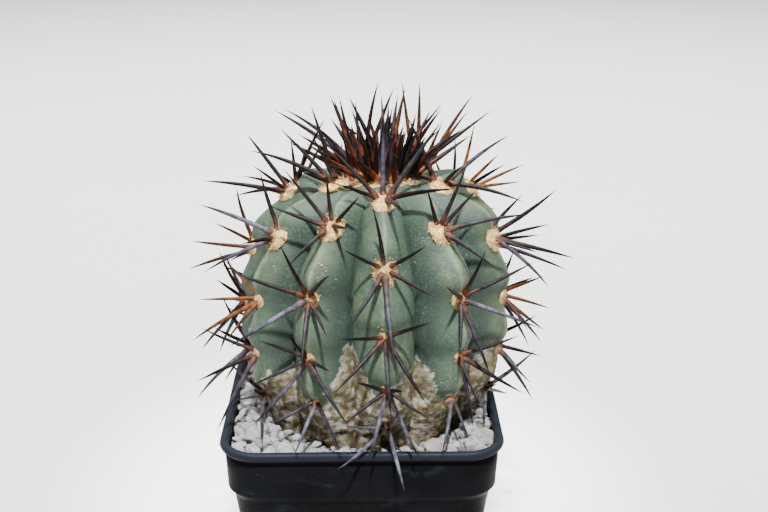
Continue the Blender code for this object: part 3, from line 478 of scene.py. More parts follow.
def view_axes():
    """Right, up and toward the viewer, in the view in which the spines were measured."""
    yaw, pitch = math.radians(VIEW_YAW), math.radians(VIEW_PITCH)
    right = np.array((math.cos(yaw), -math.sin(yaw), 0.0))
    ahead = np.array((math.sin(yaw) * math.cos(pitch), math.cos(yaw) * math.cos(pitch), -math.sin(pitch)))
    return right, np.cross(right, ahead), -ahead


RIGHT, UP, NEAR = view_axes()


def reach_to_view(flat, normal):
    """How far a spine comes toward the viewer so that it leans SPINE_TILT from its areole's normal."""
    wanted = math.cos(math.radians(SPINE_TILT))
    low, high = REACH_LEAST, REACH_MOST
    if float(unit(flat + NEAR * high) @ normal) < wanted:
        return REACH_ELSE
    for _ in range(HALVINGS):
        middle = 0.5 * (low + high)
        if float(unit(flat + NEAR * middle) @ normal) < wanted:
            low = middle
        else:
            high = middle
    return high


def settle(point, normal, tip, lean, spread):
    """Starts a spine off its areole's middle, toward the side it leans to."""
    lean = lean - normal * float(lean @ normal)
    share = min(float(np.linalg.norm(lean)) / FULL_LEAN, 1.0)
    root = point + unit(lean) * spread * share + normal * ROOT_RAISE
    length = float(np.linalg.norm(tip - root))
    bend = normal * (SPINE_BEND * length if length >= STRAIGHT_BELOW else 0.0)
    return root, tip, bend


def ring_roots(made, middle, normal):
    """Shifts an areole's roots together, so that they ring its middle."""
    offset = sum(root for root, _, _ in made) / len(made) - middle
    shift = (offset - normal * float(offset @ normal)) * ROOT_CENTRING
    return [(root - shift, tip, bend) for root, tip, bend in made]


def measured_spine(point, normal, spread, across, above):
    """Spine whose tip was measured in the view, right and up of its areole, brought clear of the pot."""
    flat = RIGHT * across + UP * above
    seen = float(np.linalg.norm(flat))
    least = math.sqrt(max(SHORTEST ** 2 - seen ** 2, 0.0))
    most = math.sqrt(max(LONGEST ** 2 - seen ** 2, 1.0))
    near = min(max(reach_to_view(flat, normal), least), most)
    for _ in range(TRIES):
        spine = settle(point, normal, point + flat + NEAR * near, flat, spread)
        if clears_pot(*spine):
            break
        near += REACH_STEP
    return spine


def ruled_spine(point, normal, up, spread, clock, tilt, length):
    """Spine by direction round its areole, tilt from the normal and length, raised clear of the pot."""
    side = np.cross(up, normal)
    for _ in range(TRIES):
        c, t = math.radians(clock), math.radians(tilt)
        way = normal * math.cos(t) + (up * math.cos(c) + side * math.sin(c)) * math.sin(t)
        spine = settle(point, normal, point + way * length, way * length, spread)
        if clears_pot(*spine):
            break
        clock, tilt, length = (value * share for value, share in zip((clock, tilt, length), RAISED))
    return spine


def pad_size(s):
    return float(np.interp(s, PAD_ARCS, PAD_SIZES))


def all_areoles():
    """Each areole's rib, number on it, distance from the apex, middle, normal and upward tangent."""
    for rib in range(RIBS):
        for number, s in enumerate(AREOLE_ARCS[rib]):
            point, normal, up = skin_frame(rib, s)
            yield rib, number, s, point, normal, up


def stem_spines():
    """Every spine of the stem: rib, distance of its areole, root, tip and bend."""
    rng = random.Random(SEED)
    spines = []
    for rib, number, s, point, normal, up in all_areoles():
        middle = point + normal * PAD_MIDDLE
        spread = ROOT_SPREAD * (LEAST_SPREAD + (1 - LEAST_SPREAD) * pad_size(s))
        if (rib, number) in SEEN_SPINES:
            made = [measured_spine(middle, normal, spread, *tip) for tip in SEEN_SPINES[rib, number]]
            for place, (root, tip, bend) in enumerate(made):
                if (rib, number, place) in ARCHED:
                    made[place] = (root, tip, UP * ARCHED[rib, number, place])
        else:
            rule = RULE_SPINES if s < FEW_SPINES_FROM else RULE_SPINES[FEW_SPINES]
            young = 1 - ease(s, *YOUNG_SPINES)
            made = []
            for clock, tilt, length in rule:
                tilt *= 1 - (YOUNG_UPRIGHT if abs(clock) < 90 else YOUNG_LOWER) * young
                length *= (1 + YOUNG_LONGER * young) * rng.uniform(*RULE_LENGTHS)
                clock += rng.uniform(-RULE_TURN, RULE_TURN)
                tilt += rng.uniform(-RULE_LEAN, RULE_LEAN)
                made.append(ruled_spine(middle, normal, up, spread, clock, tilt, length))
        for root, tip, bend in ring_roots(made, middle, normal):
            spines.append((rib, s, root, tip, bend, rng.uniform(*SPINE_SWELLS)))
    return spines


def closest(p, q, a, b):
    """Least distance between the segments pq and ab, from samples along both."""
    t = np.linspace(0, 1, SAMPLES)[:, None]
    one, two = p + (q - p) * t, a + (b - a) * t
    return float(np.sqrt(((one[:, None] - two[None]) ** 2).sum(-1)).min())


def clears_spines(root, tip, others):
    """Whether a crown spine, with the part of it that is sunk in the wool, keeps off the stem's spines."""
    foot = root - unit(tip - root)
    return all(closest(foot, tip, a, b) > CROWN_CLEARANCE for a, b in others)


def level_way(a):
    """Level direction at an azimuth in radians."""
    return np.array((math.sin(a), -math.cos(a), 0.0))


def leaning(a, tilt):
    """Level direction at an azimuth, and the one that leans that way from upright, both in radians."""
    level = level_way(a)
    return level, np.array((0.0, 0.0, math.cos(tilt))) + level * math.sin(tilt)


def crown_frame(azimuth, s):
    """Point and normal on the stem's smooth top, by azimuth."""
    r, z, nr, nz = profile(s)
    level = level_way(math.radians(azimuth))
    return axis_point(z) + level * r, level * nr + np.array((0.0, 0.0, nz))


def crown_spines(others):
    """Young spines, those seen in the view and then a golden-angle spiral, clear of the stem's spines."""
    rng = random.Random(SEED + 1)
    near = [(root, tip) for root, tip in others if root[2] > POT_HEIGHT + CROWN_BELOW]
    spines = []
    middle, _ = crown_frame(0.0, 0.0)
    for right, back, across, above, toward in CROWN_SEEN:
        base, normal = crown_frame(math.degrees(math.atan2(right, -back)), math.hypot(right, back))
        root = base + normal * CROWN_ROOT_RAISE
        for shift in CROWN_SHIFTS:
            tip = middle + RIGHT * across + UP * above + NEAR * (toward + shift)
            if clears_spines(root, tip, near):
                spines.append((root, tip, np.zeros(3)))
                break
    for i in range(CROWN_SPINES):
        share = math.sqrt((i + 0.5) / CROWN_SPINES)
        for _ in range(CROWN_TRIES):
            turn = GOLDEN_ANGLE * i + rng.uniform(-CROWN_TURN, CROWN_TURN)
            base, normal = crown_frame(turn, max(CROWN_ROOTS * share, 1.0))
            way = turn + rng.uniform(-CROWN_WAY, CROWN_WAY)
            tilt = CROWN_SPREAD * share ** CROWN_POWER + rng.uniform(-CROWN_LEAN, CROWN_LEAN)
            level, axis = leaning(math.radians(way), math.radians(min(tilt, CROWN_TILT_MOST)))
            back = 0.5 - 0.5 * math.cos(math.radians(turn))
            length = CROWN_LENGTH + CROWN_CHANCE * rng.random() + (CROWN_OUTER + CROWN_BACK * back) * share
            root = base + normal * CROWN_ROOT_RAISE
            tip = root + axis * length
            if clears_spines(root, tip, near):
                spines.append((root, tip, level * (-SPINE_BEND * length)))
                break
    return spines


def crown_fillers():
    """Shorter young spines that thicken the tuft, most of them near its middle."""
    rng = random.Random(SEED + 4)
    spines = []
    for i in range(CROWN_EXTRA):
        share = (i + 0.5) / CROWN_EXTRA
        turn = GOLDEN_ANGLE * i + rng.uniform(-EXTRA_TURN, EXTRA_TURN)
        base, normal = crown_frame(turn, max((CROWN_ROOTS + EXTRA_OUT) * math.sqrt(share), EXTRA_OUT))
        way = turn + rng.uniform(-EXTRA_WAY, EXTRA_WAY)
        tilt = EXTRA_SPREAD * share + rng.uniform(-EXTRA_LEAN, EXTRA_LEAN)
        level, axis = leaning(math.radians(way), math.radians(tilt))
        length = rng.uniform(*EXTRA_LENGTHS)
        root = base + normal * EXTRA_RAISE
        spines.append((root, root + axis * length, level * (-EXTRA_BEND * length)))
    return spines


# Meshes

def link(name, data):
    obj = bpy.data.objects.new(name, data)
    bpy.context.scene.collection.objects.link(obj)
    return obj


def make_piece(name, points, faces, numbers, material, nodes):
    """A piece from points in mm, with a number or more for each point that its material reads."""
    mesh = bpy.data.meshes.new(name)
    mesh.from_pydata((np.asarray(points) * MM).tolist(), [], faces)
    for key, values in numbers.items():
        mesh.attributes.new(key, "FLOAT", "POINT").data.foreach_set(
            "value", np.asarray(values, np.float32).ravel())
    mesh.validate()
    mesh.shade_smooth()
    mesh.materials.append(material)
    obj = link(name, mesh)
    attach(obj, "root")
    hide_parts(*nodes)
    return obj


def ring_faces(count, n):
    """Four-sided faces that join count rings of n points, each ring to the next."""
    return [(k * n + i, k * n + (i + 1) % n, (k + 1) * n + (i + 1) % n, (k + 1) * n + i)
            for k in range(count - 1) for i in range(n)]


def fan_faces(start, n, tip):
    """Three-sided faces that join the ring of n points from start to one point."""
    return [(start + i, start + (i + 1) % n, tip) for i in range(n)]


def cap_face(n):
    return [tuple(range(n))[::-1]]


def turned(faces):
    """The same faces, looking the other way."""
    return [(face[0], *face[:0:-1]) for face in faces]


def strands(roots, tips, bends, radii, shape, sides, steps):
    """Closed tapering strands, all at once: points, faces, share of the length and number of the strand."""
    roots, tips, bends = (np.asarray(v, float) for v in (roots, tips, bends))
    n = len(roots)
    t = np.linspace(0, 1, steps + 1)[:-1]
    chord = (tips - roots)[:, None]
    path = roots[:, None] + chord * t[None, :, None] + bends[:, None] * (4 * t * (1 - t))[None, :, None]
    along = chord + bends[:, None] * (4 - 8 * t)[None, :, None]
    along /= np.linalg.norm(along, axis=-1, keepdims=True)
    upright = np.abs(along[:, :1, 2:]) > 0.8
    other = np.where(upright, np.array((1.0, 0.0, 0.0)), np.array((0.0, 0.0, 1.0)))
    across = np.cross(along, np.broadcast_to(other, along.shape))
    across /= np.linalg.norm(across, axis=-1, keepdims=True)
    third = np.cross(along, across)
    turn = 2 * math.pi * np.arange(sides) / sides
    round_way = (across[:, :, None] * np.cos(turn)[None, None, :, None]
                 + third[:, :, None] * np.sin(turn)[None, None, :, None])
    size = np.asarray(radii)[:, None] * shape(t)[None]
    rings = path[:, :, None] + size[:, :, None, None] * round_way
    each = steps * sides + 1
    points = np.concatenate([rings.reshape(n, -1, 3), tips[:, None]], axis=1).reshape(-1, 3)
    one = cap_face(sides) + ring_faces(steps, sides) + fan_faces((steps - 1) * sides, sides, each - 1)
    faces = [tuple(index + each * m for index in face) for m in range(n) for face in one]
    share = np.tile(np.append(np.repeat(t, sides), 1.0), n)
    return points, faces, share, np.repeat(np.arange(n), each)


def cork_share(u, s, place):
    """0 on living skin and 1 on bark: it climbs the furrows in tongues, with a ragged edge."""
    rib = round(u)
    w = min(abs(2 * (u - rib)), 1.0)
    crest, furrow = CORK_CREST[rib % RIBS], CORK_FURROW[math.floor(u) % RIBS]
    edge = crest + (furrow - crest) * ease(w, *CORK_TONGUES)
    return ease(s - edge + lumps(place, CORK_RAGGED), -CORK_EDGE, CORK_EDGE)


def skin_relief(s, w, bark, place):
    """How far the skin stands out of its even form, with w from 0 on the crest to 1 in the furrow."""
    relief = lumps(place, SKIN_LUMPS)
    relief += CREST_LINE * bell(w / CREST_WIDTH) * ease(s, *CREST_FROM) * (1 - bark)
    relief -= CUT_LINE * bell((1 - w) / CUT_WIDTH) * ease(s, *CUT_FROM)
    lines = noise.noise(Vector([x * scale for x, scale in zip(place, BARK_LINE_FIELD)]))
    return relief + bark * (lumps(place, BARK_LUMPS) + BARK_LINES * lines - BARK_SINK)


def painted_skin_shade(u, s, w):
    """How much painted shade the skin gets: near the apex, and on the ribs' flanks."""
    rib_painted_shade = FRONT_RIB_PAINTED_SHADE if round(u) % RIBS == 0 else OTHER_RIB_PAINTED_SHADE
    flank = ease(w, *FLANK_SIDES) * ease(s, *FLANK_ARCS)
    return APEX_PAINTED_SHADE * (1 - ease(s, *APEX_SHADE_ARCS)) + rib_painted_shade * flank


def make_stem():
    """The ribbed body as a fine closed skin, with its bark, crest lines and unevenness."""
    even = (np.arange(RIB_POINTS) + 0.5) / RIB_POINTS - 0.5
    closer = even - RIB_CROWDING * np.sin(4 * math.pi * even) / (4 * math.pi)
    across = [rib + float(x) for rib in range(RIBS) for x in closer]
    count = round(ARC_END / RING_STEP)
    arcs = [ARC_END * i / count for i in range(count, 1, -1)]
    points, rows = [], []
    for s in arcs:
        for u in across:
            w = min(abs(2 * (u - round(u))), 1.0)
            place = Vector(stem_point(u, s))
            bark = cork_share(u, s, place)
            points.append(stem_point(u, s, BULGE, skin_relief(s, w, bark, place)))
            # Numbers for the skin's paint: crest marks a paler line that is partly painted highlight, shade
            # marks painted shade, furrow marks painted shade in the furrows
            furrow = bell((1 - w) / CUT_WIDTH) * ease(s, *CUT_TINT_FROM)
            rows.append((bell(w / CREST_TINT_WIDTH), painted_skin_shade(u, s, w), furrow, bark, s / ARC_END))
    points.append(stem_point(0.0, 0.0))
    rows.append((0.0,) * len(rows[0]))
    n, rings = len(across), len(arcs)
    faces = cap_face(n) + ring_faces(rings, n) + fan_faces((rings - 1) * n, n, rings * n)
    numbers = dict(zip(("crest", "shade", "furrow", "cork", "depth"), np.array(rows).T))
    make_piece("stem_skin", points, faces, numbers, skin_paint(), ["cactus"])


def ball_way(low, a):
    """Direction by angle from upright and turn about it."""
    return Vector((math.sin(low) * math.cos(a), math.sin(low) * math.sin(a), math.cos(low)))


def dome(centre, turn, radii, sink, sides):
    """Lumpy closed cushion of wool, as points and faces."""
    middle, reach = Vector(centre), Vector(radii)
    points = []
    for k in range(WOOL_RINGS):
        for i in range(sides):
            way = ball_way(math.pi * (k + 1) / (WOOL_RINGS + 1), 2 * math.pi * i / sides)
            local = (way * reach) * (1 + lumps(way, WOOL_LUMPS, middle))
            local.z -= sink
            points.append(tuple(middle + turn @ local))
    for end in (reach.z, -reach.z):
        points.append(tuple(middle + turn @ Vector((0.0, 0.0, end - sink))))
    top, foot = WOOL_RINGS * sides, WOOL_RINGS * sides + 1
    faces = turned(ring_faces(WOOL_RINGS, sides)) + fan_faces(0, sides, top)
    return points, faces + turned(fan_faces(top - sides, sides, foot))


def hair_shape(t):
    return (1 - t) ** 0.5


def pad_hairs(centre, turn, radii, sink, count, length, rng):
    """Roots, tips and bends of the wool's loose hairs over a cushion."""
    middle, reach = Vector(centre), Vector(radii)
    hairs = []
    for _ in range(count):
        a = rng.uniform(0, 2 * math.pi)
        way = ball_way(math.acos(1 - rng.random() * HAIR_CAP), a)
        local = (way * reach - Vector((0, 0, sink))) * HAIR_SEAT
        stray = Vector([rng.gauss(0, HAIR_STRAY) for _ in range(3)])
        grow = (way + stray + Vector((0, 0, HAIR_LIFT))).normalized()
        size = length * rng.uniform(*HAIR_LENGTHS)
        root = middle + turn @ local
        bend = turn @ Vector([rng.gauss(0, HAIR_CURL * size) for _ in range(3)])
        hairs.append((tuple(root), tuple(root + turn @ (grow * size)), tuple(bend)))
    return hairs


def join(parts):
    """Several (points, faces) as one."""
    points, faces, start = [], [], 0
    for more, their in parts:
        points.extend(more)
        faces.extend(tuple(index + start for index in face) for face in their)
        start += len(more)
    return points, faces


def hollow(points, holes):
    """How deep in the hollow round a spine's root each point of the wool lies, 0 to 1: there it gets a brown
    stain and painted shade.
    """
    gaps = np.linalg.norm(np.asarray(points)[:, None] - np.asarray(holes)[None], axis=-1).min(axis=1)
    return np.exp(-(gaps / ROOT_STAIN_AND_SHADE_WIDTH) ** 4)


def make_hairs(name, hairs, holes, numbers, material, nodes):
    """Wool hairs as one piece, with numbers that each hair keeps along its length."""
    roots, tips, bends = zip(*hairs)
    sunk = hollow(roots, holes)
    radii = [HAIR_RADIUS] * len(roots)
    points, faces, share, which = strands(roots, tips, bends, radii, hair_shape, sides=3, steps=2)
    kept = {key: np.array(values)[which] for key, values in numbers.items()}
    make_piece(name, points, faces, {"share": share, "hollow": sunk[which], **kept}, material, nodes)


def make_areoles(holes):
    """Cushions of cream wool on the ribs, with loose hairs all over them."""
    rng = random.Random(SEED + 5)
    wool = wool_paint()
    domes, hairs, age, hair_age = [], [], [], []
    for _, _, s, point, normal, up in all_areoles():
        size = PAD_RADIUS * pad_size(s)
        radii = (PAD_ACROSS * size, PAD_ALONG * size, WOOL_DEPTH)
        turn = Matrix(np.array((np.cross(up, normal), up, normal)).T.tolist())
        wear_and_highlight = WORN * ease(s, *WORN_ARCS)
        count = round(PAD_HAIRS * pad_size(s) ** FEWER_HAIRS)
        domes.append(dome(point, turn, radii, PAD_SINK, PAD_SIDES))
        age += [wear_and_highlight] * len(domes[-1][0])
        hair_age += [wear_and_highlight] * count
        hairs += pad_hairs(point, turn, radii, PAD_SINK, count, PAD_HAIR_LENGTH * size, rng)
    points, faces = join(domes)
    numbers = {"share": [PAD_TONE] * len(points), "hollow": hollow(points, holes), "age": age}
    make_piece("areole_wool", points, faces, numbers, wool, ["cactus"])
    make_hairs("areole_hairs", hairs, holes, {"age": hair_age}, wool, ["cactus"])
    return wool


def make_specks():
    """Small drops and flecks that sit on the skin."""
    ball, ball_faces = sphere_points(2)
    parts = []
    for u, s, radius in RESIN_DROPS + WAX_FLECKS:
        point, normal, _ = skin_frame(u, s)
        turn = np.array(Vector((0, 0, 1)).rotation_difference(Vector(normal)).to_matrix())
        uneven = np.array([1 + lumps(Vector(p), SPECK_LUMPS, Vector(point)) for p in ball])
        local = ball * uneven[:, None] * [radius * share for share in SPECK_SHAPE]
        parts.append(((local @ turn.T + point + normal * SPECK_SEAT * radius).tolist(), ball_faces))
    points, faces = join(parts)
    amber = np.repeat((1.0, 0.0), (len(RESIN_DROPS) * len(ball), len(WAX_FLECKS) * len(ball)))
    make_piece("resin_specks", points, faces, {"amber": amber}, speck_paint(), ["cactus"])


def spine_shape(t):
    bulb = 1 + BULB * np.exp(-((t - BULB_PLACE) / BULB_WIDTH) ** 2)
    return (1 - t ** TAPER) * bulb


def make_stem_spines(spines):
    """Round spines on the measured and ruled lines: thicker when long, greyer when old."""
    rng = random.Random(SEED + 6)
    counted = {}
    rows = []
    for rib, s, root, tip, bend, swell in spines:
        length = float(np.linalg.norm(tip - root))
        way = (tip - root) / length
        old = ease(s, *OLD_ARCS)
        curl = np.array([rng.gauss(0, CURL * length) for _ in range(3)])
        areole = (rib, AREOLE_ARCS[rib].index(s))
        place = counted.get(areole, 0)
        counted[areole] = place + 1
        down = ease(-float(way[2]), *GREY_DOWN_FROM)
        ruled = GREY_DOWN * down + GREY_OLD * old + rng.uniform(*GREY_CHANCE)
        tone = SEEN_GREY[areole][place] if areole in SEEN_GREY else ruled
        amber = AMBER_SPINES.get(areole, AMBER_ELSE) * rng.uniform(*AMBER_CHANCE)
        rows.append((root - way * ROOT_SINK, tip, bend + curl,
                     SPINE_RADIUS * swell * (THIN + THICKER * length),
                     min(max(tone, 0.0), 1.0) ** GREY_POWER, min(amber, 1.0), 1 - OLD_FADE * old))
    roots, tips, bends, radii, grey, warm, fade = (np.array(column) for column in zip(*rows))
    points, faces, share, which = strands(roots, tips, bends, radii, spine_shape, sides=9, steps=14)
    numbers = {"share": share * fade[which], "grey": grey[which], "warm": warm[which]}
    make_piece("stem_spines", points, faces, numbers, spine_paint(), ["cactus"])


def make_crown(others, wool):
    """Wool over the apex and the tuft of dark young spines that stands in it."""
    rng = random.Random(SEED + 7)
    centre = axis_point(crown_frame(0.0, CROWN_MIDDLE)[0][2])
    normal = unit(np.array((LEAN, 0.0, 1.0)))
    turn = Vector((0, 0, 1)).rotation_difference(Vector(normal)).to_matrix()
    radii = (CROWN_RADIUS + LOOSE_WOOL, CROWN_RADIUS + LOOSE_WOOL, CROWN_RAISE)
    points, faces = dome(centre, turn, radii, CROWN_SINK, CROWN_SIDES)
    spines = crown_spines(others) + crown_fillers()
    roots, tips, bends = (np.array(column) for column in zip(*spines))
    numbers = {"share": [CROWN_TONE] * len(points), "hollow": hollow(points, roots)}
    make_piece("crown_wool", points, faces, numbers, wool, ["crown_tuft"])
    hairs = pad_hairs(centre, turn, radii, CROWN_SINK, CROWN_HAIRS, CROWN_HAIR_LENGTH, rng)
    make_hairs("crown_hairs", hairs, roots, {}, wool, ["crown_tuft"])
    radii = [CROWN_SPINE_RADIUS * rng.uniform(*CROWN_SWELLS) for _ in spines]
    tone = np.array([rng.random() for _ in spines])
    points, faces, share, which = strands(roots, tips, bends, radii, spine_shape, sides=8, steps=12)
    numbers = {"share": share, "tone": tone[which]}
    make_piece("crown_spines", points, faces, numbers, young_paint(), ["crown_tuft"])


def rounded_square(half, corner, z):
    """Ring of points round a square with rounded corners, anticlockwise from the +X side."""
    centre = half - corner
    points = []
    for quarter, (sx, sy) in enumerate(((1, 1), (-1, 1), (-1, -1), (1, -1))):
        for i in range(CORNER_POINTS):
            a = math.radians(90 * quarter + 90 * i / (CORNER_POINTS - 1))
            points.append((sx * centre + corner * math.cos(a), sy * centre + corner * math.sin(a), z))
        ex, ey = ((-1, 0), (0, -1), (1, 0), (0, 1))[quarter]
        x, y, _ = points[-1]
        for i in range(1, SIDE_POINTS):
            step = 2 * centre * i / SIDE_POINTS
            points.append((x + ex * step, y + ey * step, z))
    return points


def edge_rows(half, corner, z, rows, tall=1.0):
    """Rows of a rounded edge of the pot, from a half width, a corner radius and a height."""
    return [(half + out, corner - less, z + tall * up) for out, less, up in rows]


def pot_outside():
    """(half width, corner radius, height) up the outside of the pot to the top of its lip."""
    under, lip_foot = BAND_BOTTOM_HALF - STEP_IN, POT_HEIGHT - LIP_HEIGHT
    step_top, step_foot = POT_HEIGHT - BAND_DEPTH, POT_HEIGHT - BAND_DEPTH - STEP_DROP
    rows = edge_rows(BASE_HALF, BASE_CORNER, 0.0, FOOT_EDGE)
    foot, head = np.array(rows[-1]), np.array((under, LIP_CORNER - STEP_CORNER, step_foot))
    rows += [tuple(foot + (head - foot) * k / WALL_ROWS) for k in range(1, WALL_ROWS)]
    rows += edge_rows(under, LIP_CORNER, step_foot, STEP_EDGE)
    rows += edge_rows(BAND_BOTTOM_HALF, LIP_CORNER, step_top, BAND_EDGE)
    rows.append((0.5 * (BAND_TOP_HALF + BAND_BOTTOM_HALF), LIP_CORNER - BAND_MIDDLE_CORNER,
                 0.5 * (step_top + lip_foot)))
    rows += edge_rows(BAND_TOP_HALF, LIP_CORNER, lip_foot, GROOVE)
    return rows + edge_rows(LIP_HALF, LIP_CORNER, POT_HEIGHT, LIP_EDGE, LIP_HEIGHT)


def pot_inside():
    """The same down the inside of the pot, from the top of the lip to the floor."""
    top, corner = POT_HEIGHT, LIP_CORNER - LIP_WIDTH
    return edge_rows(LIP_HALF - LIP_WIDTH, corner, top, INNER_EDGE) + [
        (BAND_TOP_HALF - WALL, corner - INNER_CORNER, top - LIP_HEIGHT - INNER_DROP),
        (BAND_BOTTOM_HALF - WALL, LIP_CORNER - BAND_CORNER - WALL, top - BAND_DEPTH),
        (BAND_BOTTOM_HALF - STEP_IN - WALL, LIP_CORNER - STEP_CORNER - WALL, top - BAND_DEPTH - STEP_DROP),
        (BASE_HALF - WALL, BASE_CORNER - WALL, FLOOR),
    ]


def inside_half(z):
    """Half width and corner radius of the pot's inside at a height."""
    halves, corners, heights = zip(*sorted(pot_inside(), key=lambda row: row[2]))
    return float(np.interp(z, heights, halves)), float(np.interp(z, heights, corners))


def loft_faces(count, n):
    """Faces that join count rings of n points and close both ends."""
    return cap_face(n) + ring_faces(count, n) + [tuple(range((count - 1) * n, count * n))]


def make_drains():
    """Four upright rods that pierce the pot's floor."""
    bm = bmesh.new()
    for sx in (-1, 1):
        for sy in (-1, 1):
            place = Vector((sx * DRAIN_OFFSET, sy * DRAIN_OFFSET, FLOOR / 2)) * MM
            made = bmesh.ops.create_cone(bm, cap_ends=True, segments=DRAIN_SIDES, radius1=DRAIN_RADIUS * MM,
                                         radius2=DRAIN_RADIUS * MM, depth=3 * FLOOR * MM)
            bmesh.ops.translate(bm, verts=made["verts"], vec=place)
    mesh = bpy.data.meshes.new("drains")
    bm.to_mesh(mesh)
    bm.free()
    return link("drains", mesh)


def make_pot():
    """The moulded pot with its rolled lip, groove, band and step, and walls that aren't quite flat."""
    rows = pot_outside() + pot_inside()
    rings = [rounded_square(*row) for row in rows]
    points = []
    for ring, (half, _, z) in zip(rings, rows):
        for x, y, _ in ring:
            field = Vector([value * scale for value, scale in zip((x, y, z), SAG_FIELD)])
            out = 1 + SAG * noise.noise(field) * ease(z, *SAG_FROM) / half
            points.append((x * out, y * out, z))
    faces = loft_faces(len(rows), len(rings[0]))
    pot = make_piece("pot_shell", points, faces, {}, pot_paint(), ["pot"])
    drains = make_drains()
    cut = pot.modifiers.new("drains", "BOOLEAN")
    cut.operation = "DIFFERENCE"
    cut.solver = "EXACT"
    cut.object = drains
    bpy.context.view_layer.update()
    graph = bpy.context.evaluated_depsgraph_get()
    pierced = bpy.data.meshes.new_from_object(pot.evaluated_get(graph))
    pot.modifiers.remove(cut)
    pot.data = pierced
    pot.data.shade_smooth()
    pot.data.set_sharp_from_angle(angle=math.radians(SHARP_ANGLE))
    bpy.data.objects.remove(drains, do_unlink=True)


def sphere_points(level):
    """Directions and faces of an even ball."""
    bm = bmesh.new()
    bmesh.ops.create_icosphere(bm, subdivisions=level, radius=1.0)
    points = np.array([tuple(v.co) for v in bm.verts])
    faces = [tuple(v.index for v in face.verts) for face in bm.faces]
    bm.free()
    return points, faces


def grain(ball, size, rng):
    """A broken pumice grain: a ball cut by uneven planes, pitted all over."""
    cuts = [(unit(np.array([rng.gauss(0, 1) for _ in range(3)])), rng.uniform(*CUT_HEIGHTS))
            for _ in range(GRAIN_CUTS)]
    reach = np.full(len(ball), GRAIN_REACH)
    for way, height in cuts:
        lean = ball @ way
        cut = height / np.maximum(lean, CUT_LEAN)
        reach = np.minimum(reach, np.where(lean > CUT_LEAN, cut, math.inf))
    offset = Vector([rng.uniform(0, NOISE_FIELD) for _ in range(3)])
    pits = np.array([lumps(Vector(p), GRAIN_PITS, offset) for p in ball])
    stretch = np.array([rng.uniform(*limits) for limits in GRAIN_STRETCH])
    local = ball * (reach + pits)[:, None] * stretch * size
    spin = Vector([rng.uniform(-1, 1) for _ in range(3)]).to_track_quat("Z", "Y")
    return local @ np.array(spin.to_matrix()).T


def foot_radius(z):
    """Radius of the stem's crests at a height near the pumice."""
    radii, heights = zip(*(profile(s)[:2] for s in np.linspace(FOOT_ARC, ARC_END, FOOT_STEPS)[::-1]))
    return float(np.interp(z, heights, radii))


def scatter(count, spacing, rng):
    """Places and sizes of grains between the stem's foot and the pot's wall."""
    half, corner = inside_half(BED_TOP + BED_RIM)
    foot = foot_radius(BED_TOP)
    spots = []
    for _ in range(SCATTER_TRIES):
        if len(spots) >= count:
            break
        big = GRAIN_SIZE * rng.choice(GRAIN_SIZES)
        x, y = rng.uniform(-half, half), rng.uniform(-half, half)
        inset = half - corner
        out = math.hypot(max(abs(x) - inset, 0.0), max(abs(y) - inset, 0.0))
        if out > corner - WALL_SHARE * big:
            continue
        if math.hypot(x - STEM_X, y - STEM_Y) < foot + FOOT_GAP + FOOT_SHARE * big:
            continue
        if any((x - a) ** 2 + (y - b) ** 2 < (spacing * (big + c)) ** 2 for a, b, c in spots):
            continue
        spots.append((x, y, big))
    return spots


def dust_points():
    """Rings of the bed of dust: up the pot's wall, then in toward the stem."""
    half, corner = inside_half(BED_TOP)
    rings = [rounded_square(half - DUST_GAP - k * DUST_INSET, corner - DUST_GAP - k * DUST_INSET, z)
             for k, z in enumerate(DUST_HEIGHTS)]
    rim = rings[-1]
    for t in np.linspace(*DUST_RINGS):
        ring = []
        for x, y, z in rim:
            uneven = DUST_UNEVEN * noise.noise(Vector((x * t, y * t, 0)) * DUST_FIELD)
            ring.append((STEM_X + (x - STEM_X) * t, STEM_Y + (y - STEM_Y) * t, z + uneven))
        rings.append(ring)
    return rings


def make_pumice():
    """Loose white grains in two layers over a darker bed of dust."""
    rng = random.Random(SEED + 8)
    paint = pumice_paint()
    foot = foot_radius(BED_TOP)
    for name, level, count, spacing, raised in PUMICE_LAYERS:
        ball, ball_faces = sphere_points(level)
        parts, tone = [], []
        for x, y, size in scatter(count, spacing, rng):
            near = ease(math.hypot(x - STEM_X, y - STEM_Y), foot + HEAP_WIDTH, foot)
            z = BED_TOP + raised + rng.uniform(*GRAIN_JITTER) + HEAP_RAISE * near
            z = min(z, POT_HEIGHT - UNDER_LIP - TOP_SHARE * size + HEAP_TOP * near)
            parts.append(((grain(ball, size, rng) + (x, y, z)).tolist(), ball_faces))
            tone += [rng.random()] * len(ball)
        points, faces = join(parts)
        make_piece(name, points, faces, {"tone": tone}, paint, ["pumice_top_dressing"])
    rings = dust_points()
    points = sum(rings, [])
    faces = loft_faces(len(rings), len(rings[0]))
    make_piece("pumice_dust", points, faces, {}, dust_paint(), ["pumice_top_dressing"])


# Materials

MIX_A, MIX_B, MIX_RESULT = 6, 7, 2  # colour sockets of a Mix node


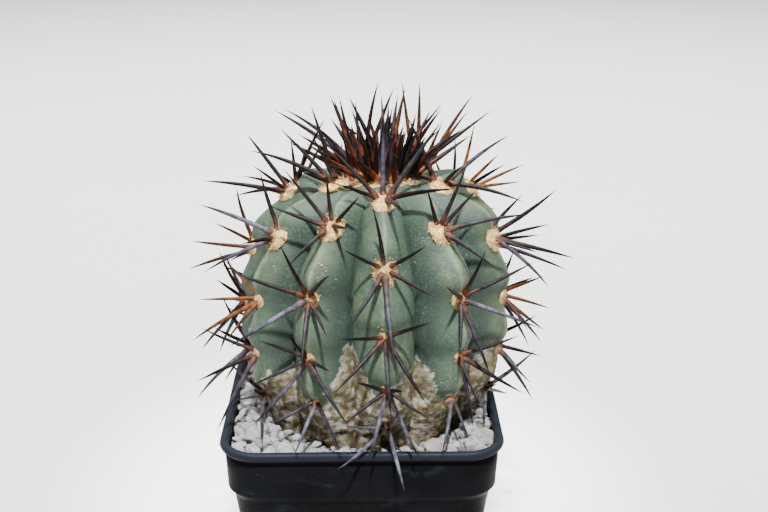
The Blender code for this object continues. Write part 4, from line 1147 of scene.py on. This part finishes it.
class Paint:
    """Short calls for the nodes of one material."""

    def __init__(self, name):
        self.material = bpy.data.materials.new(name)
        self.material.use_nodes = True
        self.tree = self.material.node_tree
        self.shader = self.tree.nodes["Principled BSDF"]
        self.place = self.node("ShaderNodeTexCoord").outputs["Object"]

    def node(self, kind, inputs=None, **settings):
        node = self.tree.nodes.new(kind)
        for key, value in settings.items():
            setattr(node, key, value)
        for key, value in (inputs or {}).items():
            self.feed(node.inputs[key], value)
        return node

    def feed(self, socket, value):
        if isinstance(value, bpy.types.NodeSocket):
            self.tree.links.new(value, socket)
        elif isinstance(value, tuple) and len(value) == 3 and len(socket.default_value) == 4:
            socket.default_value = (*value, 1.0)
        else:
            socket.default_value = value

    def number(self, name):
        return self.node("ShaderNodeAttribute", attribute_name=name).outputs["Fac"]

    def noise(self, scale, detail=3.0, roughness=0.5, distortion=0.0):
        """Noise of one scale, or of three in a tuple, one along each axis."""
        place = self.place
        if isinstance(scale, tuple):
            place = self.node("ShaderNodeMapping", {"Vector": place, "Scale": scale}).outputs["Vector"]
            scale = 1
        inputs = {"Vector": place, "Scale": scale, "Detail": detail, "Roughness": roughness,
                  "Distortion": distortion}
        return self.node("ShaderNodeTexNoise", inputs).outputs["Fac"]

    def cells(self, scale):
        inputs = {"Vector": self.place, "Scale": scale}
        return self.node("ShaderNodeTexVoronoi", inputs).outputs["Distance"]

    def step(self, value, low, high, start=0.0, end=1.0):
        """Smooth change from start, where the value is low, to end, where it is high."""
        inputs = {"Value": value, "From Min": low, "From Max": high, "To Min": start, "To Max": end}
        return self.node("ShaderNodeMapRange", inputs, interpolation_type="SMOOTHSTEP").outputs["Result"]

    def patches(self, *texture, at):
        return self.step(self.noise(*texture), *at)

    def maths(self, operation, a, b=0.0, clamp=False):
        node = self.node("ShaderNodeMath", operation=operation, use_clamp=clamp)
        self.feed(node.inputs[0], a)
        self.feed(node.inputs[1], b)
        return node.outputs[0]

    def times(self, a, b, clamp=False):
        return self.maths("MULTIPLY", a, b, clamp)

    def mix(self, factor, a, b, mode="MIX"):
        node = self.node("ShaderNodeMix", data_type="RGBA", blend_type=mode)
        self.feed(node.inputs[0], factor)
        self.feed(node.inputs[MIX_A], a)
        self.feed(node.inputs[MIX_B], b)
        return node.outputs[MIX_RESULT]

    def ramp(self, factor, *stops):
        node = self.node("ShaderNodeValToRGB")
        elements = node.color_ramp.elements
        for place, (position, colour) in enumerate(stops):
            element = elements[place] if place < 2 else elements.new(position)
            element.position = position
            element.color = (*colour, 1.0)
        self.feed(node.inputs["Fac"], factor)
        return node.outputs["Color"]

    def bump(self, height, strength, distance):
        inputs = {"Height": height, "Strength": strength, "Distance": distance}
        self.feed(self.shader.inputs["Normal"], self.node("ShaderNodeBump", inputs).outputs["Normal"])

    def finish(self, colour, roughness, **values):
        self.feed(self.shader.inputs["Base Color"], colour)
        self.feed(self.shader.inputs["Roughness"], roughness)
        for key, value in values.items():
            self.feed(self.shader.inputs[key.replace("_", " ")], value)
        return self.material


def skin_colour(p, furrow):
    """Blue-green skin in patches, paler on the crests (partly wear, partly painted highlight), with painted
    shade on the flanks, near the apex and in the furrows, and with waxy bloom.
    """
    skin = p.ramp(p.noise(75, 3), (0.32, (0.042, 0.062, 0.038)), (0.68, (0.073, 0.095, 0.055)))
    skin = p.mix(p.patches(210, 5, 0.65, at=(0.42, 0.60, 0.0, 0.75)), skin, (0.028, 0.047, 0.034))
    # Paler crests in patches: partly worn skin, partly painted highlight
    wear_and_highlight = p.times(p.number("crest"), p.patches(190, 4, 0.6, at=(0.38, 0.62, 0.25, 0.78)))
    skin = p.mix(wear_and_highlight, skin, (0.175, 0.205, 0.125))
    skin = p.mix(p.patches(42, 3, 0.5, 0.3, at=(0.46, 0.58, 0.0, 0.35)), skin, (0.033, 0.059, 0.048))
    # Painted shade: darker on the ribs' flanks and near the apex
    skin = p.mix(p.times(p.number("shade"), PAINTED_SHADE_SHARE, True), skin, (0.021, 0.034, 0.025))
    bloom = p.patches(1500, 3, 0.7, at=(0.48, 0.68))
    wax = p.times(bloom, p.patches(120, 4, 0.6, at=(0.40, 0.66, 0.04, 0.26)))
    skin = p.mix(wax, skin, (0.160, 0.212, 0.178))
    specks = p.step(p.cells(1300), 0.08, 0.20, 1.0, 0.0)
    skin = p.mix(p.times(specks, p.patches(260, 3, at=(0.60, 0.70, 0.0, 0.12))), skin, (0.23, 0.30, 0.26))
    # Painted shade: a thin dark line down each furrow
    return p.mix(furrow, skin, (0.011, 0.020, 0.022))


def bark_colour(p, streaks):
    """Corky bark: streaked, ochre in its upper tongues, with olive, pale, rusty and dark marks."""
    bark = p.ramp(streaks, (0.36, (0.058, 0.036, 0.018)), (0.46, (0.150, 0.110, 0.060)),
                  (0.54, (0.240, 0.208, 0.145)), (0.62, (0.450, 0.430, 0.370)))
    ochre = p.step(p.number("depth"), 0.76, 0.66, 0.0, 0.80)
    ochre_streaks = p.mix(p.step(streaks, 0.40, 0.62), (0.070, 0.055, 0.030), (0.180, 0.156, 0.100))
    bark = p.mix(ochre, bark, ochre_streaks)
    olive = p.patches(190, 4, 0.6, 0.2, at=(0.48, 0.54, 0.0, 0.80))
    olive_streaks = p.mix(p.step(streaks, 0.42, 0.6), (0.066, 0.070, 0.034), (0.140, 0.136, 0.080))
    bark = p.mix(olive, bark, olive_streaks)
    bare = p.times(p.step(streaks, 0.42, 0.55, 0.35, 1.0), p.step(ochre, 0.0, 0.8, 1.0, 0.28))
    pale = p.times(p.patches((210, 210, 330), 4, 0.62, 0.2, at=(0.52, 0.58, 0.0, 0.85)), bare)
    bark = p.mix(pale, bark, (0.345, 0.340, 0.315))
    rust = p.patches((230, 230, 360), 4, 0.6, 0.2, at=(0.55, 0.61, 0.0, 0.75))
    bark = p.mix(rust, bark, (0.090, 0.046, 0.020))
    pits = p.times(p.step(p.cells(900), 0.10, 0.30, 1.0, 0.0), p.patches(230, 3, at=(0.5, 0.62, 0.0, 0.6)))
    bark = p.mix(pits, bark, (0.040, 0.025, 0.014))
    bark = p.mix(p.patches(75, 4, 0.6, 0.4, at=(0.48, 0.60, 0.0, 0.28)), bark, (0.070, 0.048, 0.024))
    return p.mix(p.times(p.step(p.number("depth"), 0.78, 0.92), 0.55), bark, (0.050, 0.033, 0.018))


def skin_paint():
    """Skin that gives way to bark where the cork number says, with a pale rim between them."""
    p = Paint("waxy_skin")
    # Painted shade in the furrows, thinned and broken up by noise
    thin = p.maths("POWER", p.number("furrow"), 2.6)
    furrow = p.times(thin, p.patches(700, 3, at=(0.40, 0.60, 0.65, 1.0)))
    streaks = p.noise((400, 400, 430), 4, 0.52)
    edge = p.number("cork")
    torn = p.times(p.maths("SUBTRACT", p.noise(950, 5, 0.7), 0.5), 1.7)
    cork = p.step(p.maths("ADD", edge, torn), 0.40, 0.60)
    colour = p.mix(cork, skin_colour(p, furrow), bark_colour(p, streaks))
    rim = p.times(p.times(edge, p.maths("SUBTRACT", 1.0, edge)), 4.0)
    rim = p.times(p.times(p.maths("POWER", rim, 2.5), 0.7), p.patches(620, 4, at=(0.42, 0.58, 0.0, 1.5)))
    colour = p.mix(rim, colour, (0.27, 0.28, 0.22))
    fine = p.times(p.noise(1900, 4, 0.6), p.step(cork, 0.0, 1.0, 0.5, 1.0))
    fine = p.maths("ADD", fine, p.times(p.noise((250, 250, 2600), 2), 0.25))
    height = p.maths("ADD", fine, p.times(streaks, p.step(cork, 0.0, 1.0, 0.0, 0.9)))
    p.bump(height, 0.6, 0.0004)
    rough = p.step(cork, 0.0, 1.0, 0.58, 0.90)
    return p.finish(colour, rough, Specular_IOR_Level=p.step(furrow, 0.1, 0.6, 0.20, 0.04))


def wool_paint():
    p = Paint("cream_wool")
    base = p.ramp(p.number("share"), (0.0, (0.48, 0.25, 0.06)), (0.55, (0.86, 0.64, 0.26)))
    colour = p.mix(p.patches(380, 3, at=(0.4, 0.7, 0.0, 0.5)), base, (0.92, 0.75, 0.40))
    colour = p.mix(p.patches(480, 4, 0.6, at=(0.45, 0.58, 0.0, 0.75)), colour, (0.52, 0.28, 0.10))
    wear_and_highlight = p.times(p.number("age"), p.patches(700, 3, at=(0.35, 0.6, 0.45, 1.0)))
    colour = p.mix(wear_and_highlight, colour, (0.27, 0.15, 0.080))
    # Brown stain and painted shade round the spines' roots
    colour = p.mix(p.times(p.number("hollow"), 0.90), colour, (0.26, 0.105, 0.040))
    p.bump(p.noise(3200, 3), 0.7, 0.0003)
    return p.finish(colour, 0.94, Specular_IOR_Level=0.2, Sheen_Weight=0.25, Sheen_Roughness=0.5)


def speck_paint():
    p = Paint("resin_and_wax")
    amber = p.number("amber")
    colour = p.mix(amber, (0.20, 0.25, 0.20), (0.27, 0.20, 0.04))
    colour = p.mix(p.patches(2600, 3, at=(0.45, 0.65, 0.0, 0.4)), colour, (0.40, 0.40, 0.24))
    return p.finish(colour, p.step(amber, 0.0, 1.0, 0.70, 0.18), Specular_IOR_Level=0.5)


def mottled(p, colour):
    """Colour with uneven darker and lighter marks along a spine."""
    mottle = p.patches(560, 3, 0.6, at=(0.36, 0.66, 0.55, 1.45))
    tint = p.node("ShaderNodeCombineColor", {"Red": mottle, "Green": mottle, "Blue": mottle}).outputs["Color"]
    return p.mix(1.0, colour, tint, "MULTIPLY")


def spine_paint():
    p = Paint("hard_spines")
    share = p.number("share")
    dark = p.ramp(share, (0.06, (0.060, 0.023, 0.014)), (0.15, (0.024, 0.010, 0.008)),
                  (0.27, (0.0045, 0.0034, 0.0038)), (0.52, (0.0012, 0.0011, 0.0015)))
    pale = p.ramp(share, (0.06, (0.058, 0.036, 0.032)), (0.13, (0.062, 0.054, 0.066)),
                  (0.42, (0.074, 0.077, 0.106)), (0.78, (0.006, 0.006, 0.009)))
    amber = p.ramp(share, (0.0, (0.150, 0.042, 0.010)), (0.45, (0.105, 0.036, 0.008)),
                   (0.78, (0.034, 0.015, 0.005)), (1.0, (0.004, 0.003, 0.002)))
    colour = p.mix(p.number("warm"), p.mix(p.number("grey"), dark, pale), amber)
    p.bump(p.noise(1700, 4), 0.35, 0.0002)
    rough = p.patches(500, at=(0.3, 0.7, 0.36, 0.58))
    return p.finish(mottled(p, colour), rough, Specular_IOR_Level=0.10)


def young_paint():
    p = Paint("young_spines")
    share, tone = p.number("share"), p.number("tone")
    red = p.ramp(share, (0.0, (0.220, 0.060, 0.014)), (0.26, (0.094, 0.023, 0.009)),
                 (0.58, (0.034, 0.010, 0.006)), (0.88, (0.003, 0.002, 0.002)))
    black = p.ramp(share, (0.0, (0.080, 0.018, 0.007)), (0.20, (0.011, 0.003, 0.002)),
                   (0.42, (0.003, 0.0018, 0.0018)), (0.85, (0.0015, 0.0012, 0.0015)))
    colour = p.mix(p.step(tone, 0.28, 0.60), black, red)
    faded = p.ramp(share, (0.0, (0.100, 0.034, 0.022)), (0.30, (0.044, 0.023, 0.025)),
                   (0.55, (0.020, 0.016, 0.021)), (0.82, (0.003, 0.002, 0.003)))
    colour = p.mix(p.step(tone, 0.82, 0.88), colour, faded)
    p.bump(p.noise(1700, 3), 0.3, 0.0002)
    return p.finish(mottled(p, colour), 0.42, Specular_IOR_Level=0.12)


def pumice_paint():
    p = Paint("white_pumice")
    body = p.ramp(p.noise(330, 4, 0.6), (0.30, (0.143, 0.142, 0.142)), (0.60, (0.285, 0.287, 0.296)))
    body = p.mix(p.step(p.number("tone"), 0.55, 1.0, 0.0, 0.75), body, (0.190, 0.170, 0.145))
    pits = p.times(p.step(p.cells(1700), 0.12, 0.34, 1.0, 0.0), p.patches(520, 3, at=(0.45, 0.62)))
    colour = p.mix(p.times(pits, 0.55), body, (0.270, 0.255, 0.235))
    p.bump(p.maths("SUBTRACT", p.noise(1500, 5, 0.65), p.times(pits, 0.8)), 0.8, 0.0005)
    return p.finish(colour, 0.92, Specular_IOR_Level=0.25)


def dust_paint():
    p = Paint("pumice_dust")
    colour = p.ramp(p.noise(900, 5, 0.7), (0.35, (0.150, 0.135, 0.115)), (0.65, (0.380, 0.365, 0.340)))
    p.bump(p.noise(1500, 5, 0.7), 1.0, 0.0008)
    return p.finish(colour, 0.95, Specular_IOR_Level=0.2)


def soil_paint():
    p = Paint("mineral_mix")
    colour = p.ramp(p.noise(700, 6, 0.7), (0.32, (0.020, 0.014, 0.010)), (0.60, (0.095, 0.065, 0.042)),
                    (0.72, (0.260, 0.240, 0.210)))
    p.bump(p.noise(900, 6, 0.7), 1.0, 0.0015)
    return p.finish(colour, 0.95, Specular_IOR_Level=0.2)


def pot_paint():
    """Black plastic with a painted bluish highlight on the lip, and with scuffs, dust and fine scratches."""
    p = Paint("black_plastic")
    body = p.ramp(p.noise(60, 4), (0.35, (0.0028, 0.0029, 0.0035)), (0.70, (0.0050, 0.0054, 0.0068)))
    scuff = p.patches((60, 60, 190), 6, 0.65, 0.8, at=(0.54, 0.70))
    colour = p.mix(p.times(scuff, 0.7), body, (0.011, 0.014, 0.022))
    height = p.node("ShaderNodeSeparateXYZ", {"Vector": p.place}).outputs["Z"]
    # Painted highlight: the lip is painted a brighter, bluer black
    lip = p.step(height, *((POT_HEIGHT - LIP_HEIGHT + past) * MM for past in (-LIP_HIGHLIGHT_BLEND, LIP_HIGHLIGHT_BLEND)))
    colour = p.mix(lip, colour, (0.0085, 0.0105, 0.0155))
    dust = p.times(p.patches(1600, 4, 0.7, at=(0.60, 0.74)), p.patches(90, 3, at=(0.45, 0.7)))
    colour = p.mix(p.times(dust, 0.18), colour, (0.20, 0.20, 0.21))
    scratches = p.noise((900, 900, 90), 5, 0.6)
    p.bump(p.maths("ADD", p.noise(1400, 3), scratches), 0.14, 0.0002)
    rough = p.patches(140, 4, at=(0.3, 0.7, 0.44, 0.60))
    return p.finish(colour, rough, Specular_IOR_Level=p.step(lip, 0.0, 1.0, 0.03, 0.07))


def floor_paint():
    p = Paint("pale_floor")
    colour = p.ramp(p.noise(9, 3), (0.3, (0.850, 0.845, 0.845)), (0.7, (0.875, 0.870, 0.870)))
    return p.finish(colour, 0.9, Specular_IOR_Level=0.1)


# Studio

def put_light(light, place, aim, power, colour):
    light.energy = power
    light.color = colour
    obj = link(light.name, light)
    obj.location = place
    obj.rotation_euler = (Vector(aim) - Vector(place)).to_track_quat("-Z", "Y").to_euler()


def spread(tree, value, limits, levels=(0.0, 1.0)):
    """Even change of a value between two limits into one between two levels."""
    node = tree.nodes.new("ShaderNodeMapRange")
    for key, number in zip(("From Min", "From Max", "To Min", "To Max"), (*limits, *levels)):
        node.inputs[key].default_value = number
    tree.links.new(value, node.inputs["Value"])
    return node.outputs["Result"]


def make_world():
    """Surroundings that are brighter above and behind the plant than in front of it."""
    world = bpy.data.worlds.new("studio")
    world.use_nodes = True
    tree = world.node_tree
    split = tree.nodes.new("ShaderNodeSeparateXYZ")
    tree.links.new(tree.nodes.new("ShaderNodeTexCoord").outputs["Generated"], split.inputs[0])
    tint = tree.nodes.new("ShaderNodeMix")
    tint.data_type = "RGBA"
    for socket, colour in zip((tint.inputs[MIX_A], tint.inputs[MIX_B]), WORLD_COLOURS):
        socket.default_value = (*colour, 1.0)
    tree.links.new(spread(tree, split.outputs["X"], WORLD_SIDES), tint.inputs[0])
    background = tree.nodes["Background"]
    tree.links.new(tint.outputs[MIX_RESULT], background.inputs["Color"])
    strength = spread(tree, split.outputs["Y"], WORLD_DEPTHS, WORLD_LEVELS)
    tree.links.new(strength, background.inputs["Strength"])
    bpy.context.scene.world = world


def make_studio():
    """Pale floor, dim surroundings, a small hard light from the front and a wide soft one from above."""
    mesh = bpy.data.meshes.new("floor")
    corners = [(sx * FLOOR_HALF, sy * FLOOR_HALF, 0) for sx, sy in ((-1, -1), (1, -1), (1, 1), (-1, 1))]
    mesh.from_pydata(corners, [], [(0, 1, 2, 3)])
    mesh.materials.append(floor_paint())
    floor = link("floor", mesh)
    make_world()
    key = bpy.data.lights.new("key", "SPOT")
    key.spot_size = math.radians(KEY_CONE)
    key.spot_blend = KEY_BLEND
    key.shadow_soft_size = KEY_RADIUS
    put_light(key, KEY_PLACE, KEY_AIM, KEY_POWER, KEY_COLOUR)
    top = bpy.data.lights.new("top", "AREA")
    top.shape = "DISK"
    top.size = TOP_SIZE
    top.spread = math.radians(TOP_SPREAD)
    put_light(top, TOP_PLACE, TOP_AIM, TOP_POWER, TOP_COLOUR)


def make_camera():
    camera = bpy.data.cameras.new("photo_view")
    camera.lens = CAMERA_LENS
    camera.sensor_width = CAMERA_SENSOR
    obj = link("photo_view", camera)
    obj.location = CAMERA_PLACE
    obj.rotation_euler = (math.radians(CAMERA_TILT), 0.0, math.radians(CAMERA_TURN))
    bpy.context.scene.camera = obj


def main():
    make_camera()
    make_studio()
    make_stem()
    spines = stem_spines()
    make_stem_spines(spines)
    make_specks()
    wool = make_areoles([root for _, _, root, _, _, _ in spines])
    make_crown([(root, tip) for _, _, root, tip, _, _ in spines], wool)
    make_pumice()
    make_pot()
    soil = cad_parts["potting_mix"]
    soil.data.materials.clear()
    soil.data.materials.append(soil_paint())


main()
